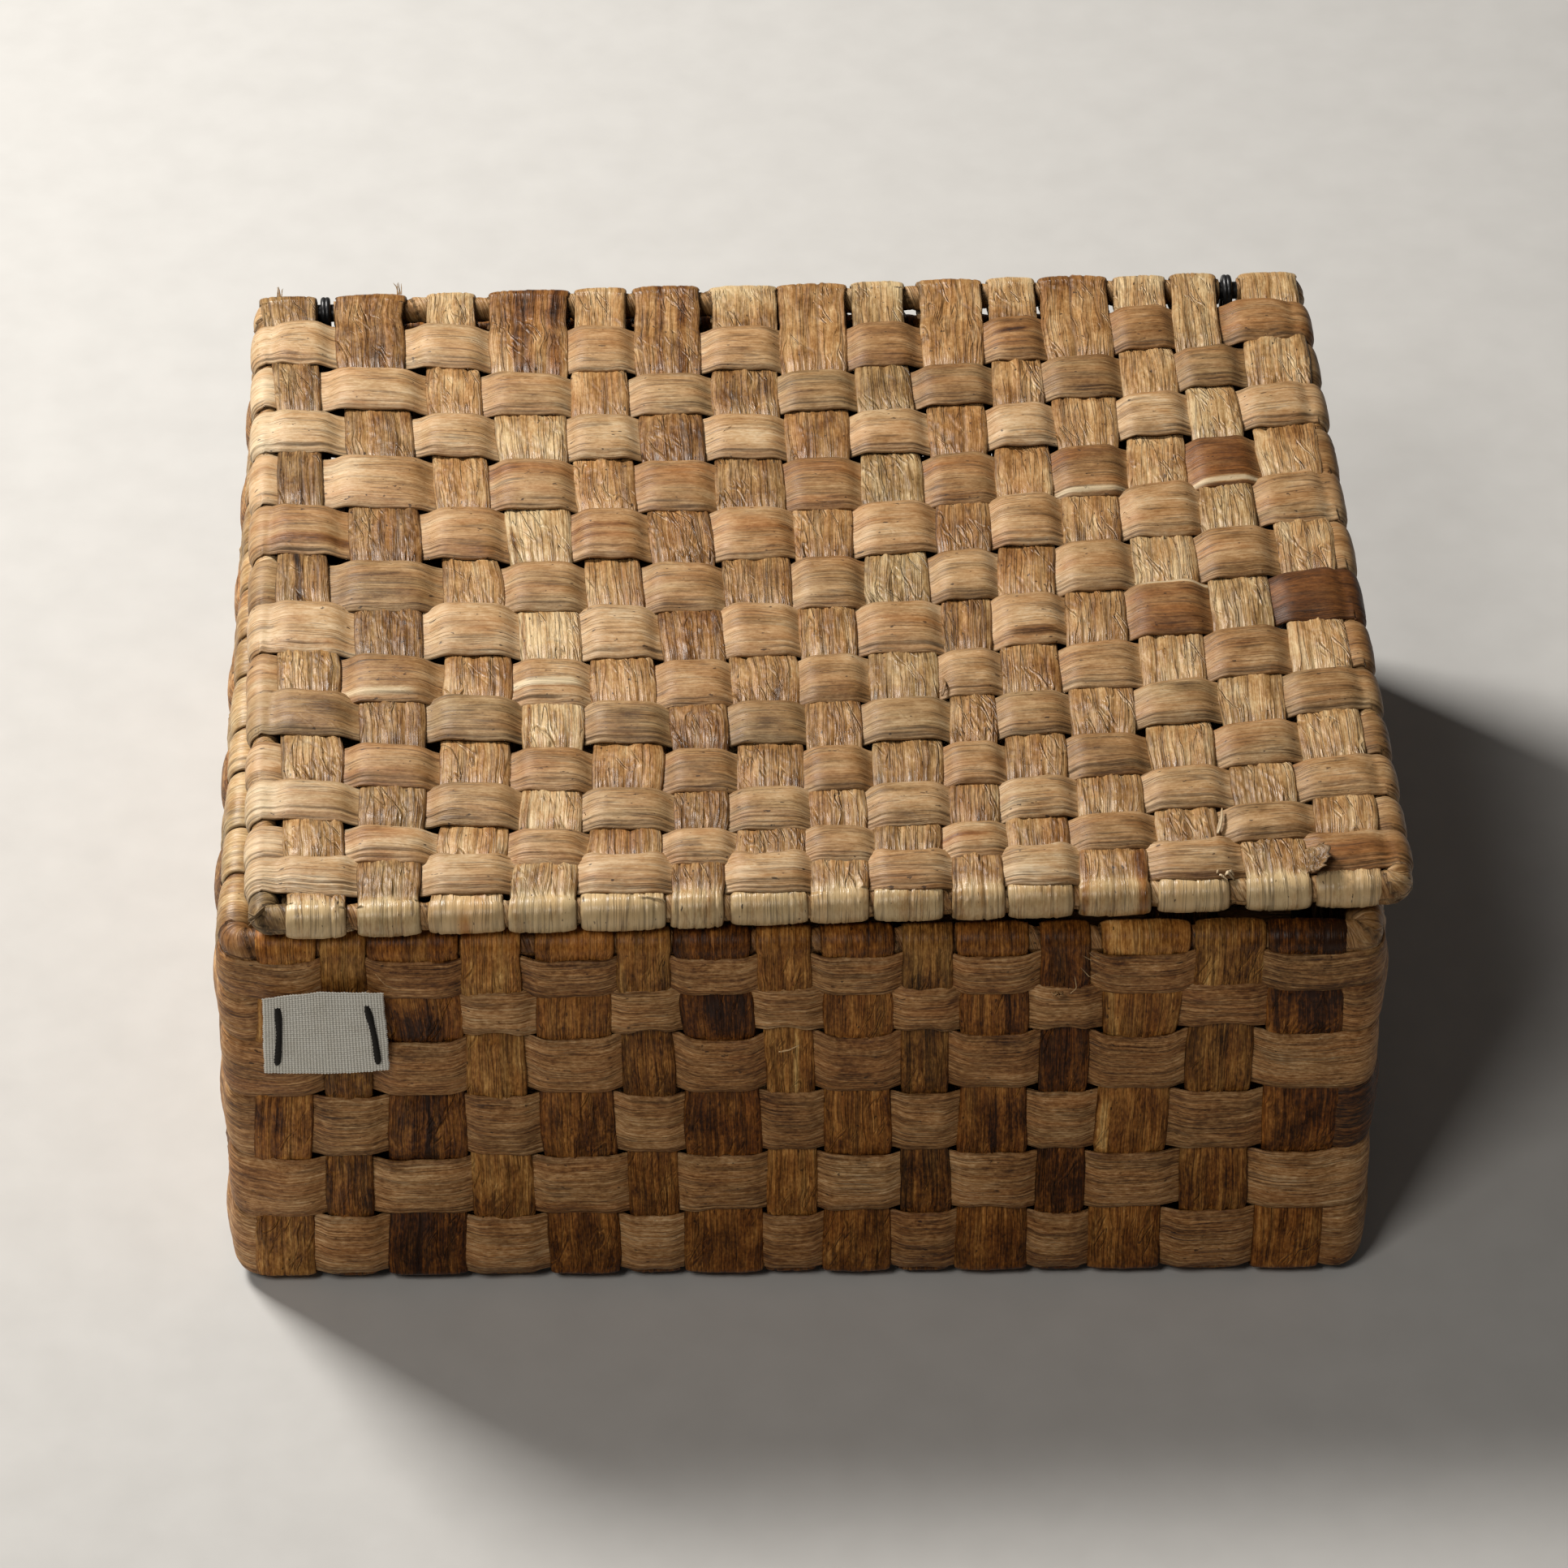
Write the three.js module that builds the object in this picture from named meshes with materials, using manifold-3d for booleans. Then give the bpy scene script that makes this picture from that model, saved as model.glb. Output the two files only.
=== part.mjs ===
// Lidded storage basket of flat water hyacinth strips, woven round a painted steel rod frame.
// Millimetres, +Z up. The origin is the middle of the base, on the surface that the basket stands on.
// +X is to the right and -Y is the front, the side with the small cloth label.
//
// How the basket is built:
// - the body has a rim rod, a base rod and four corner posts, welded into one cage
// - flat strips run down one wall, under the base and up the opposite wall, and fold over the rim rod
// - six closed bands of strip are woven in and out of these uprights, all the way round
// - the lid is a rod rectangle with its own strips, front to back and side to side, each folded round the rod
// - a thin filler strip is wound on the rods, which shows between the folds
// - two loops of tie hold the lid's rear rod to the body's rear rim rod: the lid turns on its own rear rod
import * as THREE from "three";
import Module from "manifold-3d";
import { mergeVertices } from "three/addons/utils/BufferGeometryUtils.js";

const wasm = await Module();
wasm.setup();

// ---- driving dimensions ----
const WIDTH = 300; // over the folded strips, left to right
const DEPTH = 272; // over the folded strips, front to back
const RIM_TOP = 121.6; // top of the folds over the body's rim rod
const STRIP_T = 1.1; // thickness of one flattened strip
const PLAY = 0.3; // play between strips that touch
const ROD_R = 2.5; // steel rod, 5 mm
const ROD_SIDES = 8;
const FILLER_IN = 3.05; // inside and outside of the filler wound on a rod, at its corners
const FILLER_OUT = 3.6;
const FOLD_OUT = 5.0; // from a rod's centre to the outside of a folded strip
const FOLD_MID = FOLD_OUT - STRIP_T / 2;
const FOLD_CUT = FOLD_MID * Math.tan(Math.PI / 8); // half of each flat of an eight-sided fold
const BEND = 1.6; // chamfer where an upright turns under the base
const BAND_OFF = STRIP_T + PLAY; // from an upright's middle plane to a band's
const CORNER_R = 7.45; // middle of a band where it turns round a corner
const POST_X = 143.1;
const POST_Y = 129.1;

const LID_WIDTH = 300;
const LID_DEPTH = 270;
const LID_TURN = (1.85 * Math.PI) / 180; // the loose ties let the lid sit a little askew
const LID_X = 3.4;
const LID_Y = 0.9;
const LID_SEAT = 1.0; // from the rim's folds to the lid's folds
const LID_ROD_Z = RIM_TOP + LID_SEAT + FOLD_OUT;
const LID_TOP = LID_ROD_Z + FOLD_MID; // middle plane of the lid's front-to-back strips

// Bands of the body, from the rim down: lowest and highest edge.
const BANDS = [
  [104.1, 114.0],
  [89.0, 102.9],
  [68.8, 87.8],
  [47.6, 67.6],
  [26.0, 46.4],
  [5.2, 24.7],
];

// Uprights as [left, right] along the front wall and the back wall, and [front, back] along the side walls.
const FRONT = [
  [-139.6, -124.0], [-123.4, -111.6], [-111.2, -87.6], [-87.4, -71.9], [-68.8, -48.8],
  [-47.5, -33.7], [-33.2, -13.1], [-11.9, 2.4], [4.3, 23.1], [25.4, 38.5],
  [39.1, 58.2], [60.7, 73.6], [76.3, 99.3], [100.6, 118.9], [119.3, 139.6],
];
const BACK = [
  [-139.6, -132.6], [-126.2, -110.6], [-109.0, -88.0], [-86.0, -69.5], [-67.5, -48.5],
  [-46.5, -32.0], [-30.5, -12.0], [-10.5, 4.0], [6.0, 24.5], [26.5, 40.5],
  [42.5, 60.5], [62.5, 77.0], [79.0, 100.5], [102.5, 124.0], [130.4, 139.6],
];
const SIDE = [
  [-125.6, -108.4], [-106.2, -90.4], [-88.0, -67.6], [-65.2, -49.8], [-47.4, -27.8],
  [-25.6, -10.8], [-8.6, 10.2], [12.4, 27.4], [29.4, 49.8], [52.2, 66.6],
  [68.8, 88.2], [90.4, 106.4], [108.4, 125.6],
];
// The lid's front-to-back strips at its front edge and its rear edge: they run a little slanted.
const LID_FRONT = [
  [-139.4, -123.9], [-121.1, -105.0], [-103.6, -83.8], [-83.2, -65.7], [-64.8, -42.6],
  [-41.7, -28.5], [-26.4, -6.4], [-6.0, 9.1], [10.0, 28.2], [30.5, 43.7],
  [44.4, 61.4], [63.0, 81.1], [83.2, 101.3], [106.1, 122.5], [123.5, 139.4],
];
const LID_BACK = [
  [-139.4, -131.7], [-126.4, -106.6], [-100.6, -86.4], [-82.7, -60.4], [-58.2, -43.8],
  [-42.0, -22.8], [-19.8, -1.0], [-0.6, 19.0], [20.4, 35.4], [39.4, 57.8],
  [59.2, 72.8], [73.8, 93.4], [94.8, 109.6], [111.2, 124.4], [130.8, 139.4],
];
// The lid's side-to-side strips, [front edge, rear edge]. They lie closer together near the front.
const LID_ROWS = [
  [-123.9, -116.4], [-114.6, -103.2], [-102.0, -87.2], [-86.0, -70.0], [-68.8, -51.6],
  [-50.4, -32.7], [-31.5, -11.9], [-10.7, 9.0], [10.2, 30.6], [31.8, 53.1],
  [54.3, 73.8], [75.0, 93.8], [95.0, 115.4],
];
// They bow a little towards the front in the middle, the front ones least.
const rowBow = (r, x) => ([1.7, 2.8][r - 1] ?? 3.8) * (2.2 * (x / 135) ** 2 - 1);

const LABEL = { x: -122.8, z: 93.4, w: 31, h: 26, t: 0.8 };

// ---- materials ----
const straw = (colour) => new THREE.MeshStandardMaterial({ color: colour, roughness: 0.62, metalness: 0 });
const WARP = straw(0x9a6d3a);
const WEFT = straw(0xc9a06a);
const LID_WARP = straw(0xb4874e);
const LID_WEFT = straw(0xd3ad79);
const FILLER = straw(0xb08a58);
const STEEL = new THREE.MeshStandardMaterial({ color: 0x17181a, roughness: 0.35, metalness: 0.4 });
const CLOTH = new THREE.MeshStandardMaterial({ color: 0xd9d4c6, roughness: 0.9, metalness: 0 });
const THREAD = new THREE.MeshStandardMaterial({ color: 0x14120f, roughness: 0.85, metalness: 0 });

// ---- helpers ----
const body = new THREE.Group();
const lid = new THREE.Group();
lid.position.set(LID_X, LID_Y, 0);
lid.rotation.z = LID_TURN;
const basket = new THREE.Group();
basket.add(body, lid);

function place(parent, name, geometry, material) {
  const mesh = new THREE.Mesh(geometry, material);
  mesh.name = name;
  parent.add(mesh);
  return mesh;
}

// Both sides of a line of points, each half a strip's thickness away, with mitred corners.
function sides(line, closed, half = STRIP_T / 2) {
  const n = line.length;
  const left = [];
  const right = [];
  for (let i = 0; i < n; i++) {
    const here = line[i];
    const before = line[closed ? (i + n - 1) % n : Math.max(i - 1, 0)];
    const after = line[closed ? (i + 1) % n : Math.min(i + 1, n - 1)];
    let a = [here[0] - before[0], here[1] - before[1]];
    let b = [after[0] - here[0], after[1] - here[1]];
    if (Math.hypot(...a) === 0) a = b;
    if (Math.hypot(...b) === 0) b = a;
    a = a.map((v) => v / Math.hypot(...a));
    b = b.map((v) => v / Math.hypot(...b));
    const m = [-(a[1] + b[1]), a[0] + b[0]];
    const long = Math.hypot(...m);
    const reach = half / Math.max(0.5, (m[0] * -a[1] + m[1] * a[0]) / long);
    left.push([here[0] + (m[0] / long) * reach, here[1] + (m[1] / long) * reach]);
    right.push([here[0] - (m[0] / long) * reach, here[1] - (m[1] / long) * reach]);
  }
  return [left, right];
}
const vectors = (points) => points.map((p) => new THREE.Vector2(p[0], p[1]));

// A strip whose edge view is a line of points, extruded over its width.
function stripOf(line, from, to) {
  const [left, right] = sides(line, false);
  const shape = new THREE.Shape(vectors([...left, ...right.reverse()]));
  const made = new THREE.ExtrudeGeometry(shape, { depth: to - from, bevelEnabled: false, steps: 1 });
  made.translate(0, 0, from);
  return made;
}
// Edge view in Y and Z, width along X.
function alongY(line, from, to) {
  return stripOf(line, from, to).applyMatrix4(new THREE.Matrix4().set(0, 0, 1, 0, 1, 0, 0, 0, 0, 1, 0, 0, 0, 0, 0, 1));
}
// Edge view in X and Z, width along Y. The extrusion runs towards -Y, so from and to swap signs.
function alongX(line, from, to) {
  return stripOf(line, -to, -from).applyMatrix4(new THREE.Matrix4().set(1, 0, 0, 0, 0, 0, -1, 0, 0, 1, 0, 0, 0, 0, 0, 1));
}

function solidOf(geometry) {
  const g = geometry.clone();
  g.deleteAttribute("normal");
  g.deleteAttribute("uv");
  const merged = mergeVertices(g, 1e-4);
  return new wasm.Manifold(
    new wasm.Mesh({
      numProp: 3,
      vertProperties: new Float32Array(merged.attributes.position.array),
      triVerts: new Uint32Array(merged.index.array),
    }),
  );
}
function geometryOf(solid) {
  const m = solid.getMesh();
  const g = new THREE.BufferGeometry();
  g.setAttribute("position", new THREE.BufferAttribute(new Float32Array(m.vertProperties), 3));
  g.setIndex(new THREE.BufferAttribute(new Uint32Array(m.triVerts), 1));
  g.computeVertexNormals();
  return g;
}
const joined = (solids) => solids.reduce((a, b) => a.add(b));

// Columns with at least this much between them, so that a strip has room to dive from front to back.
function spaced(columns, room) {
  return columns.map(([a, b], i) => {
    const before = columns[i - 1];
    const after = columns[i + 1];
    const lo = before ? Math.max(a, (before[1] + a) / 2 + room / 2) : a;
    const hi = after ? Math.min(b, (b + after[0]) / 2 - room / 2) : b;
    return [lo, hi];
  });
}

// ---- rods ----
// A round rod bent into a rectangle with rounded corners, level at z.
function rodRing(halfX, halfY, radius, z) {
  const points = [];
  for (const [sx, sy, from] of [[1, -1, -90], [1, 1, 0], [-1, 1, 90], [-1, -1, 180]])
    for (const turn of [0, 45, 90]) {
      const at = ((from + turn) * Math.PI) / 180;
      points.push([sx * (halfX - radius) + radius * Math.cos(at), sy * (halfY - radius) + radius * Math.sin(at)]);
    }
  const rings = points.map((p, i) => {
    const a = points[(i + points.length - 1) % points.length];
    const b = points[(i + 1) % points.length];
    const d = new THREE.Vector2(b[0] - a[0], b[1] - a[1]).normalize();
    return Array.from({ length: ROD_SIDES }, (_, k) => {
      const at = ((k + 0.5) / ROD_SIDES) * 2 * Math.PI;
      const out = ROD_R * Math.cos(at);
      return [p[0] + d.y * out, p[1] - d.x * out, z + ROD_R * Math.sin(at)];
    });
  });
  const position = new Float32Array(rings.flat(2));
  const index = [];
  const n = rings.length;
  for (let i = 0; i < n; i++)
    for (let k = 0; k < ROD_SIDES; k++) {
      const a = i * ROD_SIDES + k;
      const b = i * ROD_SIDES + ((k + 1) % ROD_SIDES);
      const c = ((i + 1) % n) * ROD_SIDES + k;
      const d = ((i + 1) % n) * ROD_SIDES + ((k + 1) % ROD_SIDES);
      index.push(a, c, b, b, c, d);
    }
  const g = new THREE.BufferGeometry();
  g.setAttribute("position", new THREE.BufferAttribute(position, 3));
  g.setIndex(index);
  g.computeVertexNormals();
  return g;
}

// The filler wound on a rod: a thin-walled sleeve along a level line of points.
function sleeve(line, z) {
  const ring = (radius) =>
    Array.from({ length: 8 }, (_, k) => {
      const at = ((k + 0.5) / 8) * 2 * Math.PI;
      return [radius * Math.cos(at), radius * Math.sin(at)];
    });
  const sections = line.map((p, i) => {
    const a = line[Math.max(i - 1, 0)];
    const b = line[Math.min(i + 1, line.length - 1)];
    const d = new THREE.Vector2(b[0] - a[0], b[1] - a[1]).normalize();
    return [FILLER_OUT, FILLER_IN].map((r) => ring(r).map(([u, v]) => [p[0] + d.y * u, p[1] - d.x * u, z + v]));
  });
  const position = new Float32Array(sections.flat(3));
  const at = (i, shell, k) => i * 16 + shell * 8 + (((k % 8) + 8) % 8);
  const index = [];
  for (let i = 0; i < line.length - 1; i++)
    for (let k = 0; k < 8; k++) {
      index.push(at(i, 0, k), at(i + 1, 0, k), at(i, 0, k + 1), at(i, 0, k + 1), at(i + 1, 0, k), at(i + 1, 0, k + 1));
      index.push(at(i, 1, k), at(i, 1, k + 1), at(i + 1, 1, k), at(i, 1, k + 1), at(i + 1, 1, k + 1), at(i + 1, 1, k));
    }
  const last = line.length - 1;
  for (let k = 0; k < 8; k++) {
    index.push(at(0, 0, k), at(0, 0, k + 1), at(0, 1, k), at(0, 1, k), at(0, 0, k + 1), at(0, 1, k + 1));
    index.push(at(last, 0, k), at(last, 1, k), at(last, 0, k + 1), at(last, 1, k), at(last, 1, k + 1), at(last, 0, k + 1));
  }
  const g = new THREE.BufferGeometry();
  g.setAttribute("position", new THREE.BufferAttribute(position, 3));
  g.setIndex(index);
  g.computeVertexNormals();
  return g;
}
// From one bare stretch of the rear rod, round the front, to the other.
function sleeveLine(halfX, halfY, radius, leftX, rightX) {
  const points = [[leftX, halfY]];
  for (const [sx, sy, from] of [[-1, 1, 90], [-1, -1, 180], [1, -1, 270], [1, 1, 0]])
    for (const turn of [0, 45, 90]) {
      const at = ((from + turn) * Math.PI) / 180;
      points.push([sx * (halfX - radius) + radius * Math.cos(at), sy * (halfY - radius) + radius * Math.sin(at)]);
    }
  points.push([rightX, halfY]);
  return points;
}

const RIM_Z = RIM_TOP - FOLD_OUT;
const RIM_HX = WIDTH / 2 - FOLD_OUT;
const RIM_HY = DEPTH / 2 - FOLD_OUT;
const BASE_Z = 2 * STRIP_T + 2 * PLAY + ROD_R;
const BASE_INSET = 2 * STRIP_T + PLAY + 0.4 + ROD_R; // from an upright's outer face to the base rod's centre
place(body, "body_rim_rod", rodRing(RIM_HX, RIM_HY, 6, RIM_Z), STEEL);
place(body, "body_base_rod", rodRing(WIDTH / 2 - BASE_INSET, DEPTH / 2 - BASE_INSET, 6, BASE_Z), STEEL);
const postLow = BASE_Z + ROD_R + PLAY;
const postHigh = RIM_Z - FILLER_OUT - PLAY;
for (const [name, sx, sy] of [["front_left", -1, -1], ["front_right", 1, -1], ["back_left", -1, 1], ["back_right", 1, 1]]) {
  const post = new THREE.CylinderGeometry(ROD_R, ROD_R, postHigh - postLow, ROD_SIDES);
  post.rotateX(Math.PI / 2);
  const mesh = place(body, "corner_post_" + name, post, STEEL);
  mesh.position.set(sx * POST_X, sy * POST_Y, (postLow + postHigh) / 2);
}

// ---- where the two hinge ties sit, seen in the body's frame ----
const LID_HX = LID_WIDTH / 2 - FOLD_OUT;
const LID_HY = LID_DEPTH / 2 - FOLD_OUT;
function lidPoint(x, y) {
  return [LID_X + x * Math.cos(LID_TURN) - y * Math.sin(LID_TURN), LID_Y + x * Math.sin(LID_TURN) + y * Math.cos(LID_TURN)];
}
const TIES = [["left", -129.05], ["right", 127.5]].map(([side, local]) => ({ side, local, at: lidPoint(local, LID_HY) }));
const TIE_W = 2.4;
const BARE = 4.4; // length of bare rod at a tie

// ---- the body's uprights and base ----
// One wall-to-wall strip, seen from its edge: tail inside the rim, over the rim rod, down, under, up and over.
function uprightLine(halfSpan, baseZ, tailZ) {
  const out = halfSpan - STRIP_T / 2;
  const rod = halfSpan - FOLD_OUT;
  const oneSide = (s) => [
    [s * (rod - FOLD_MID), tailZ],
    [s * (rod - FOLD_MID), RIM_Z + FOLD_CUT],
    [s * (rod - FOLD_CUT), RIM_Z + FOLD_MID],
    [s * (rod + FOLD_CUT), RIM_Z + FOLD_MID],
    [s * out, RIM_Z + FOLD_CUT],
    [s * out, baseZ + BEND],
    [s * (out - BEND), baseZ],
  ];
  return { near: [...oneSide(-1), [-(out - 30), baseZ]], far: [[out - 30, baseZ], ...oneSide(1).reverse()] };
}
const frontColumns = spaced(FRONT, 2.6);
const backColumns = spaced(BACK, 2.6);
const sideColumns = spaced(SIDE, 2.2);
{
  const z = STRIP_T / 2;
  const { near, far } = uprightLine(DEPTH / 2, z, RIM_TOP - 17);
  const sheet = new THREE.BoxGeometry(279.2, DEPTH - 44, STRIP_T).translate(0, 0, z);
  place(
    body,
    "front_to_back_strips",
    geometryOf(
      joined([
        solidOf(sheet),
        ...frontColumns.map(([a, b]) => solidOf(alongY(near, a, b))),
        ...backColumns.map(([a, b]) => solidOf(alongY(far, a, b))),
      ]),
    ),
    WARP,
  );
}
{
  const z = 1.5 * STRIP_T + PLAY;
  const { near, far } = uprightLine(WIDTH / 2, z, RIM_TOP - 17);
  const sheet = new THREE.BoxGeometry(WIDTH - 44, 2 * 125.6, STRIP_T).translate(0, 0, z);
  place(
    body,
    "side_to_side_strips",
    geometryOf(
      joined([
        solidOf(sheet),
        ...sideColumns.map(([a, b]) => solidOf(alongX(near, a, b))),
        ...sideColumns.map(([a, b]) => solidOf(alongX(far, a, b))),
      ]),
    ),
    WARP,
  );
}

// ---- the woven bands ----
function bandLine(row) {
  const points = [];
  let count = 0;
  const wall = (columns, spot) => {
    for (const [a, b] of columns) {
      count++;
      const off = (count + row) % 2 === 0 ? BAND_OFF : -BAND_OFF;
      points.push(spot(a - 0.35, off), spot(b + 0.35, off));
    }
  };
  const corner = (sx, sy, from) => {
    for (const turn of [0, 30, 60, 90]) {
      const at = ((from + turn) * Math.PI) / 180;
      points.push([
        sx * (WIDTH / 2 - STRIP_T / 2 - CORNER_R) + CORNER_R * Math.cos(at),
        sy * (DEPTH / 2 - STRIP_T / 2 - CORNER_R) + CORNER_R * Math.sin(at),
      ]);
    }
  };
  const hx = WIDTH / 2 - STRIP_T / 2;
  const hy = DEPTH / 2 - STRIP_T / 2;
  const turned = (columns) => columns.map(([a, b]) => [-b, -a]).reverse();
  wall(frontColumns, (u, off) => [u, -hy - off]);
  corner(1, -1, -90);
  wall(sideColumns, (u, off) => [hx + off, u]);
  corner(1, 1, 0);
  wall(turned(backColumns), (u, off) => [-u, hy + off]);
  corner(-1, 1, 90);
  wall(turned(sideColumns), (u, off) => [-hx - off, -u]);
  corner(-1, -1, 180);
  return points;
}
BANDS.forEach(([low, high], i) => {
  const [inner, outer] = sides(bandLine(i + 1), true);
  const shape = new THREE.Shape(vectors(outer));
  shape.holes.push(new THREE.Path(vectors(inner)));
  const g = new THREE.ExtrudeGeometry(shape, { depth: high - low, bevelEnabled: false, steps: 1 });
  g.translate(0, 0, low);
  place(body, "body_band_" + (i + 1), g, WEFT);
});

// ---- filler on the body's rim rod ----
const tieX = TIES.map((t) => t.at[0]);
place(body, "rim_filler_front", sleeve(sleeveLine(RIM_HX, RIM_HY, 6, tieX[0] - BARE / 2, tieX[1] + BARE / 2), RIM_Z), FILLER);
place(body, "rim_filler_rear", sleeve([[tieX[1] - BARE / 2, RIM_HY], [tieX[0] + BARE / 2, RIM_HY]], RIM_Z), FILLER);

// ---- the lid ----
place(lid, "lid_frame_rod", rodRing(LID_HX, LID_HY, 6, LID_ROD_Z), STEEL);
const lidLine = (half, cut) => {
  const end = (s) => [
    [s * (half - cut), LID_ROD_Z - FOLD_MID],
    [s * (half + FOLD_CUT), LID_ROD_Z - FOLD_MID],
    [s * (half + FOLD_MID), LID_ROD_Z - FOLD_CUT],
    [s * (half + FOLD_MID), LID_ROD_Z + FOLD_CUT],
    [s * (half + FOLD_CUT), LID_TOP],
  ];
  return { near: end(-1), far: end(1).reverse() };
};
const TAIL = 4.6; // a folded end reaches this far inside the rod's centre
const lidFront = spaced(LID_FRONT, 3.0);
const lidBack = spaced(LID_BACK, 3.0);
const share = (y) => (y + LID_DEPTH / 2) / LID_DEPTH;
const columnAt = (i, y) => [0, 1].map((k) => lidFront[i][k] + (lidBack[i][k] - lidFront[i][k]) * share(y));
const two = (n) => String(n).padStart(2, "0");
lidFront.forEach((_, i) => {
  const { near, far } = lidLine(LID_HY, TAIL);
  const g = alongY([...near, ...far], 0, 1);
  const position = g.attributes.position;
  for (let k = 0; k < position.count; k++) {
    const [a, b] = columnAt(i, position.getY(k));
    position.setX(k, a + (b - a) * position.getX(k));
  }
  place(lid, "lid_strip_" + two(i + 1), g, LID_WARP);
});
LID_ROWS.forEach(([from, to], k) => {
  const r = k + 1;
  const { near, far } = lidLine(LID_HX, TAIL);
  const line = [...near, [-142.7, LID_TOP]];
  lidFront.forEach((_, i) => {
    const spans = [columnAt(i, from), columnAt(i, to)];
    const a = Math.min(spans[0][0], spans[1][0]) - 0.35;
    const b = Math.max(spans[0][1], spans[1][1]) + 0.35;
    const z = LID_TOP + ((i + 1 + r) % 2 === 0 ? BAND_OFF : -BAND_OFF);
    line.push([a, z], [b, z]);
  });
  line.push([142.7, LID_TOP], ...far);
  const g = alongX(line, from, to);
  const position = g.attributes.position;
  for (let n = 0; n < position.count; n++) position.setY(n, position.getY(n) + rowBow(r, position.getX(n)));
  place(lid, "lid_cross_strip_" + two(r), g, LID_WEFT);
});
place(lid, "lid_filler_front", sleeve(sleeveLine(LID_HX, LID_HY, 6, TIES[0].local - BARE / 2, TIES[1].local + BARE / 2), LID_ROD_Z), FILLER);
place(lid, "lid_filler_rear", sleeve([[TIES[1].local - BARE / 2, LID_HY], [TIES[0].local + BARE / 2, LID_HY]], LID_ROD_Z), FILLER);

// ---- the hinge ties: a flat loop round the two rear rods ----
function loopOutline(centres, radius) {
  const points = [];
  const lean = Math.atan2(centres[1][1] - centres[0][1], centres[1][0] - centres[0][0]);
  for (const [c, from] of [[centres[1], lean - Math.PI / 2], [centres[0], lean + Math.PI / 2]])
    for (let k = 0; k <= 6; k++) {
      const at = from + (k / 6) * Math.PI;
      points.push([c[0] + radius * Math.cos(at), c[1] + radius * Math.sin(at)]);
    }
  return points;
}
for (const { side, at } of TIES) {
  const centres = [[RIM_HY, RIM_Z], [at[1], LID_ROD_Z]];
  const shape = new THREE.Shape(vectors(loopOutline(centres, 4.2)));
  shape.holes.push(new THREE.Path(vectors(loopOutline(centres, 3.0))));
  const g = new THREE.ExtrudeGeometry(shape, { depth: TIE_W, bevelEnabled: false, steps: 1 });
  g.translate(0, 0, at[0] - TIE_W / 2);
  g.applyMatrix4(new THREE.Matrix4().set(0, 0, 1, 0, 1, 0, 0, 0, 0, 1, 0, 0, 0, 0, 0, 1));
  place(body, "hinge_tie_" + side, g, STEEL);
}

// ---- the cloth label, bare, with its two stitches ----
const labelBack = -DEPTH / 2 - BAND_OFF - PLAY;
place(body, "cloth_label", new THREE.BoxGeometry(LABEL.w, LABEL.t, LABEL.h), CLOTH).position.set(LABEL.x, labelBack - LABEL.t / 2, LABEL.z);
for (const [side, x] of [["left", -12.6], ["right", 12.6]]) {
  const thread = new THREE.CylinderGeometry(0.7, 0.7, 18.5, 6);
  thread.rotateX(Math.PI / 2);
  place(body, "label_stitch_" + side, thread, THREAD).position.set(LABEL.x + x, labelBack - LABEL.t - PLAY - 0.7, LABEL.z + 1);
}

export default basket;
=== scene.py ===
import math

import bpy
import numpy as np
from mathutils import Matrix


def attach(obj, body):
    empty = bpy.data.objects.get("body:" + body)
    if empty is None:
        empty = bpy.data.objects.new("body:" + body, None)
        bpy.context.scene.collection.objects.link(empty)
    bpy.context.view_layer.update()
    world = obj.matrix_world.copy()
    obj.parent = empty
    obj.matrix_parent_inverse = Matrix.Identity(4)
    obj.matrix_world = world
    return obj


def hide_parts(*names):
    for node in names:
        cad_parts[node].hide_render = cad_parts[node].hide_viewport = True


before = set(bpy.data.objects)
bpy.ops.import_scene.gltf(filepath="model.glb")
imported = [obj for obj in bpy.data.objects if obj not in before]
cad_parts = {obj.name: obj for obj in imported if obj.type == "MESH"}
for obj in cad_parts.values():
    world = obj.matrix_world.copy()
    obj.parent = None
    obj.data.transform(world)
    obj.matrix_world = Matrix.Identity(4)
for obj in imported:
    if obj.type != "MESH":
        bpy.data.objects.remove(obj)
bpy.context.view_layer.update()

# Woven lidded basket. Lengths are worked out in millimetres and turned to metres when a mesh is made.
# +X is to the right, -Y the front, +Z up. The lid's pieces are built in the lid's own axes and then turned into place.

# ---------------------------------------------------------------- sizes
W, D = 300.0, 272.0
RIM_TOP = 121.6
RIM_Z = RIM_TOP - 5.0
HX, HY = W / 2 - 0.55, D / 2 - 0.55  # middle plane of the walls
RX, RY = W / 2 - 5.0, D / 2 - 5.0  # rim rod
LID_RX, LID_RY, LID_Z = 145.0, 130.0, 127.6
LID_TURN = math.radians(1.85)
LID_X, LID_Y = 3.4, 0.9
FOLD = 4.45
ROD = 2.5
LID_TOP = LID_Z + FOLD

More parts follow.
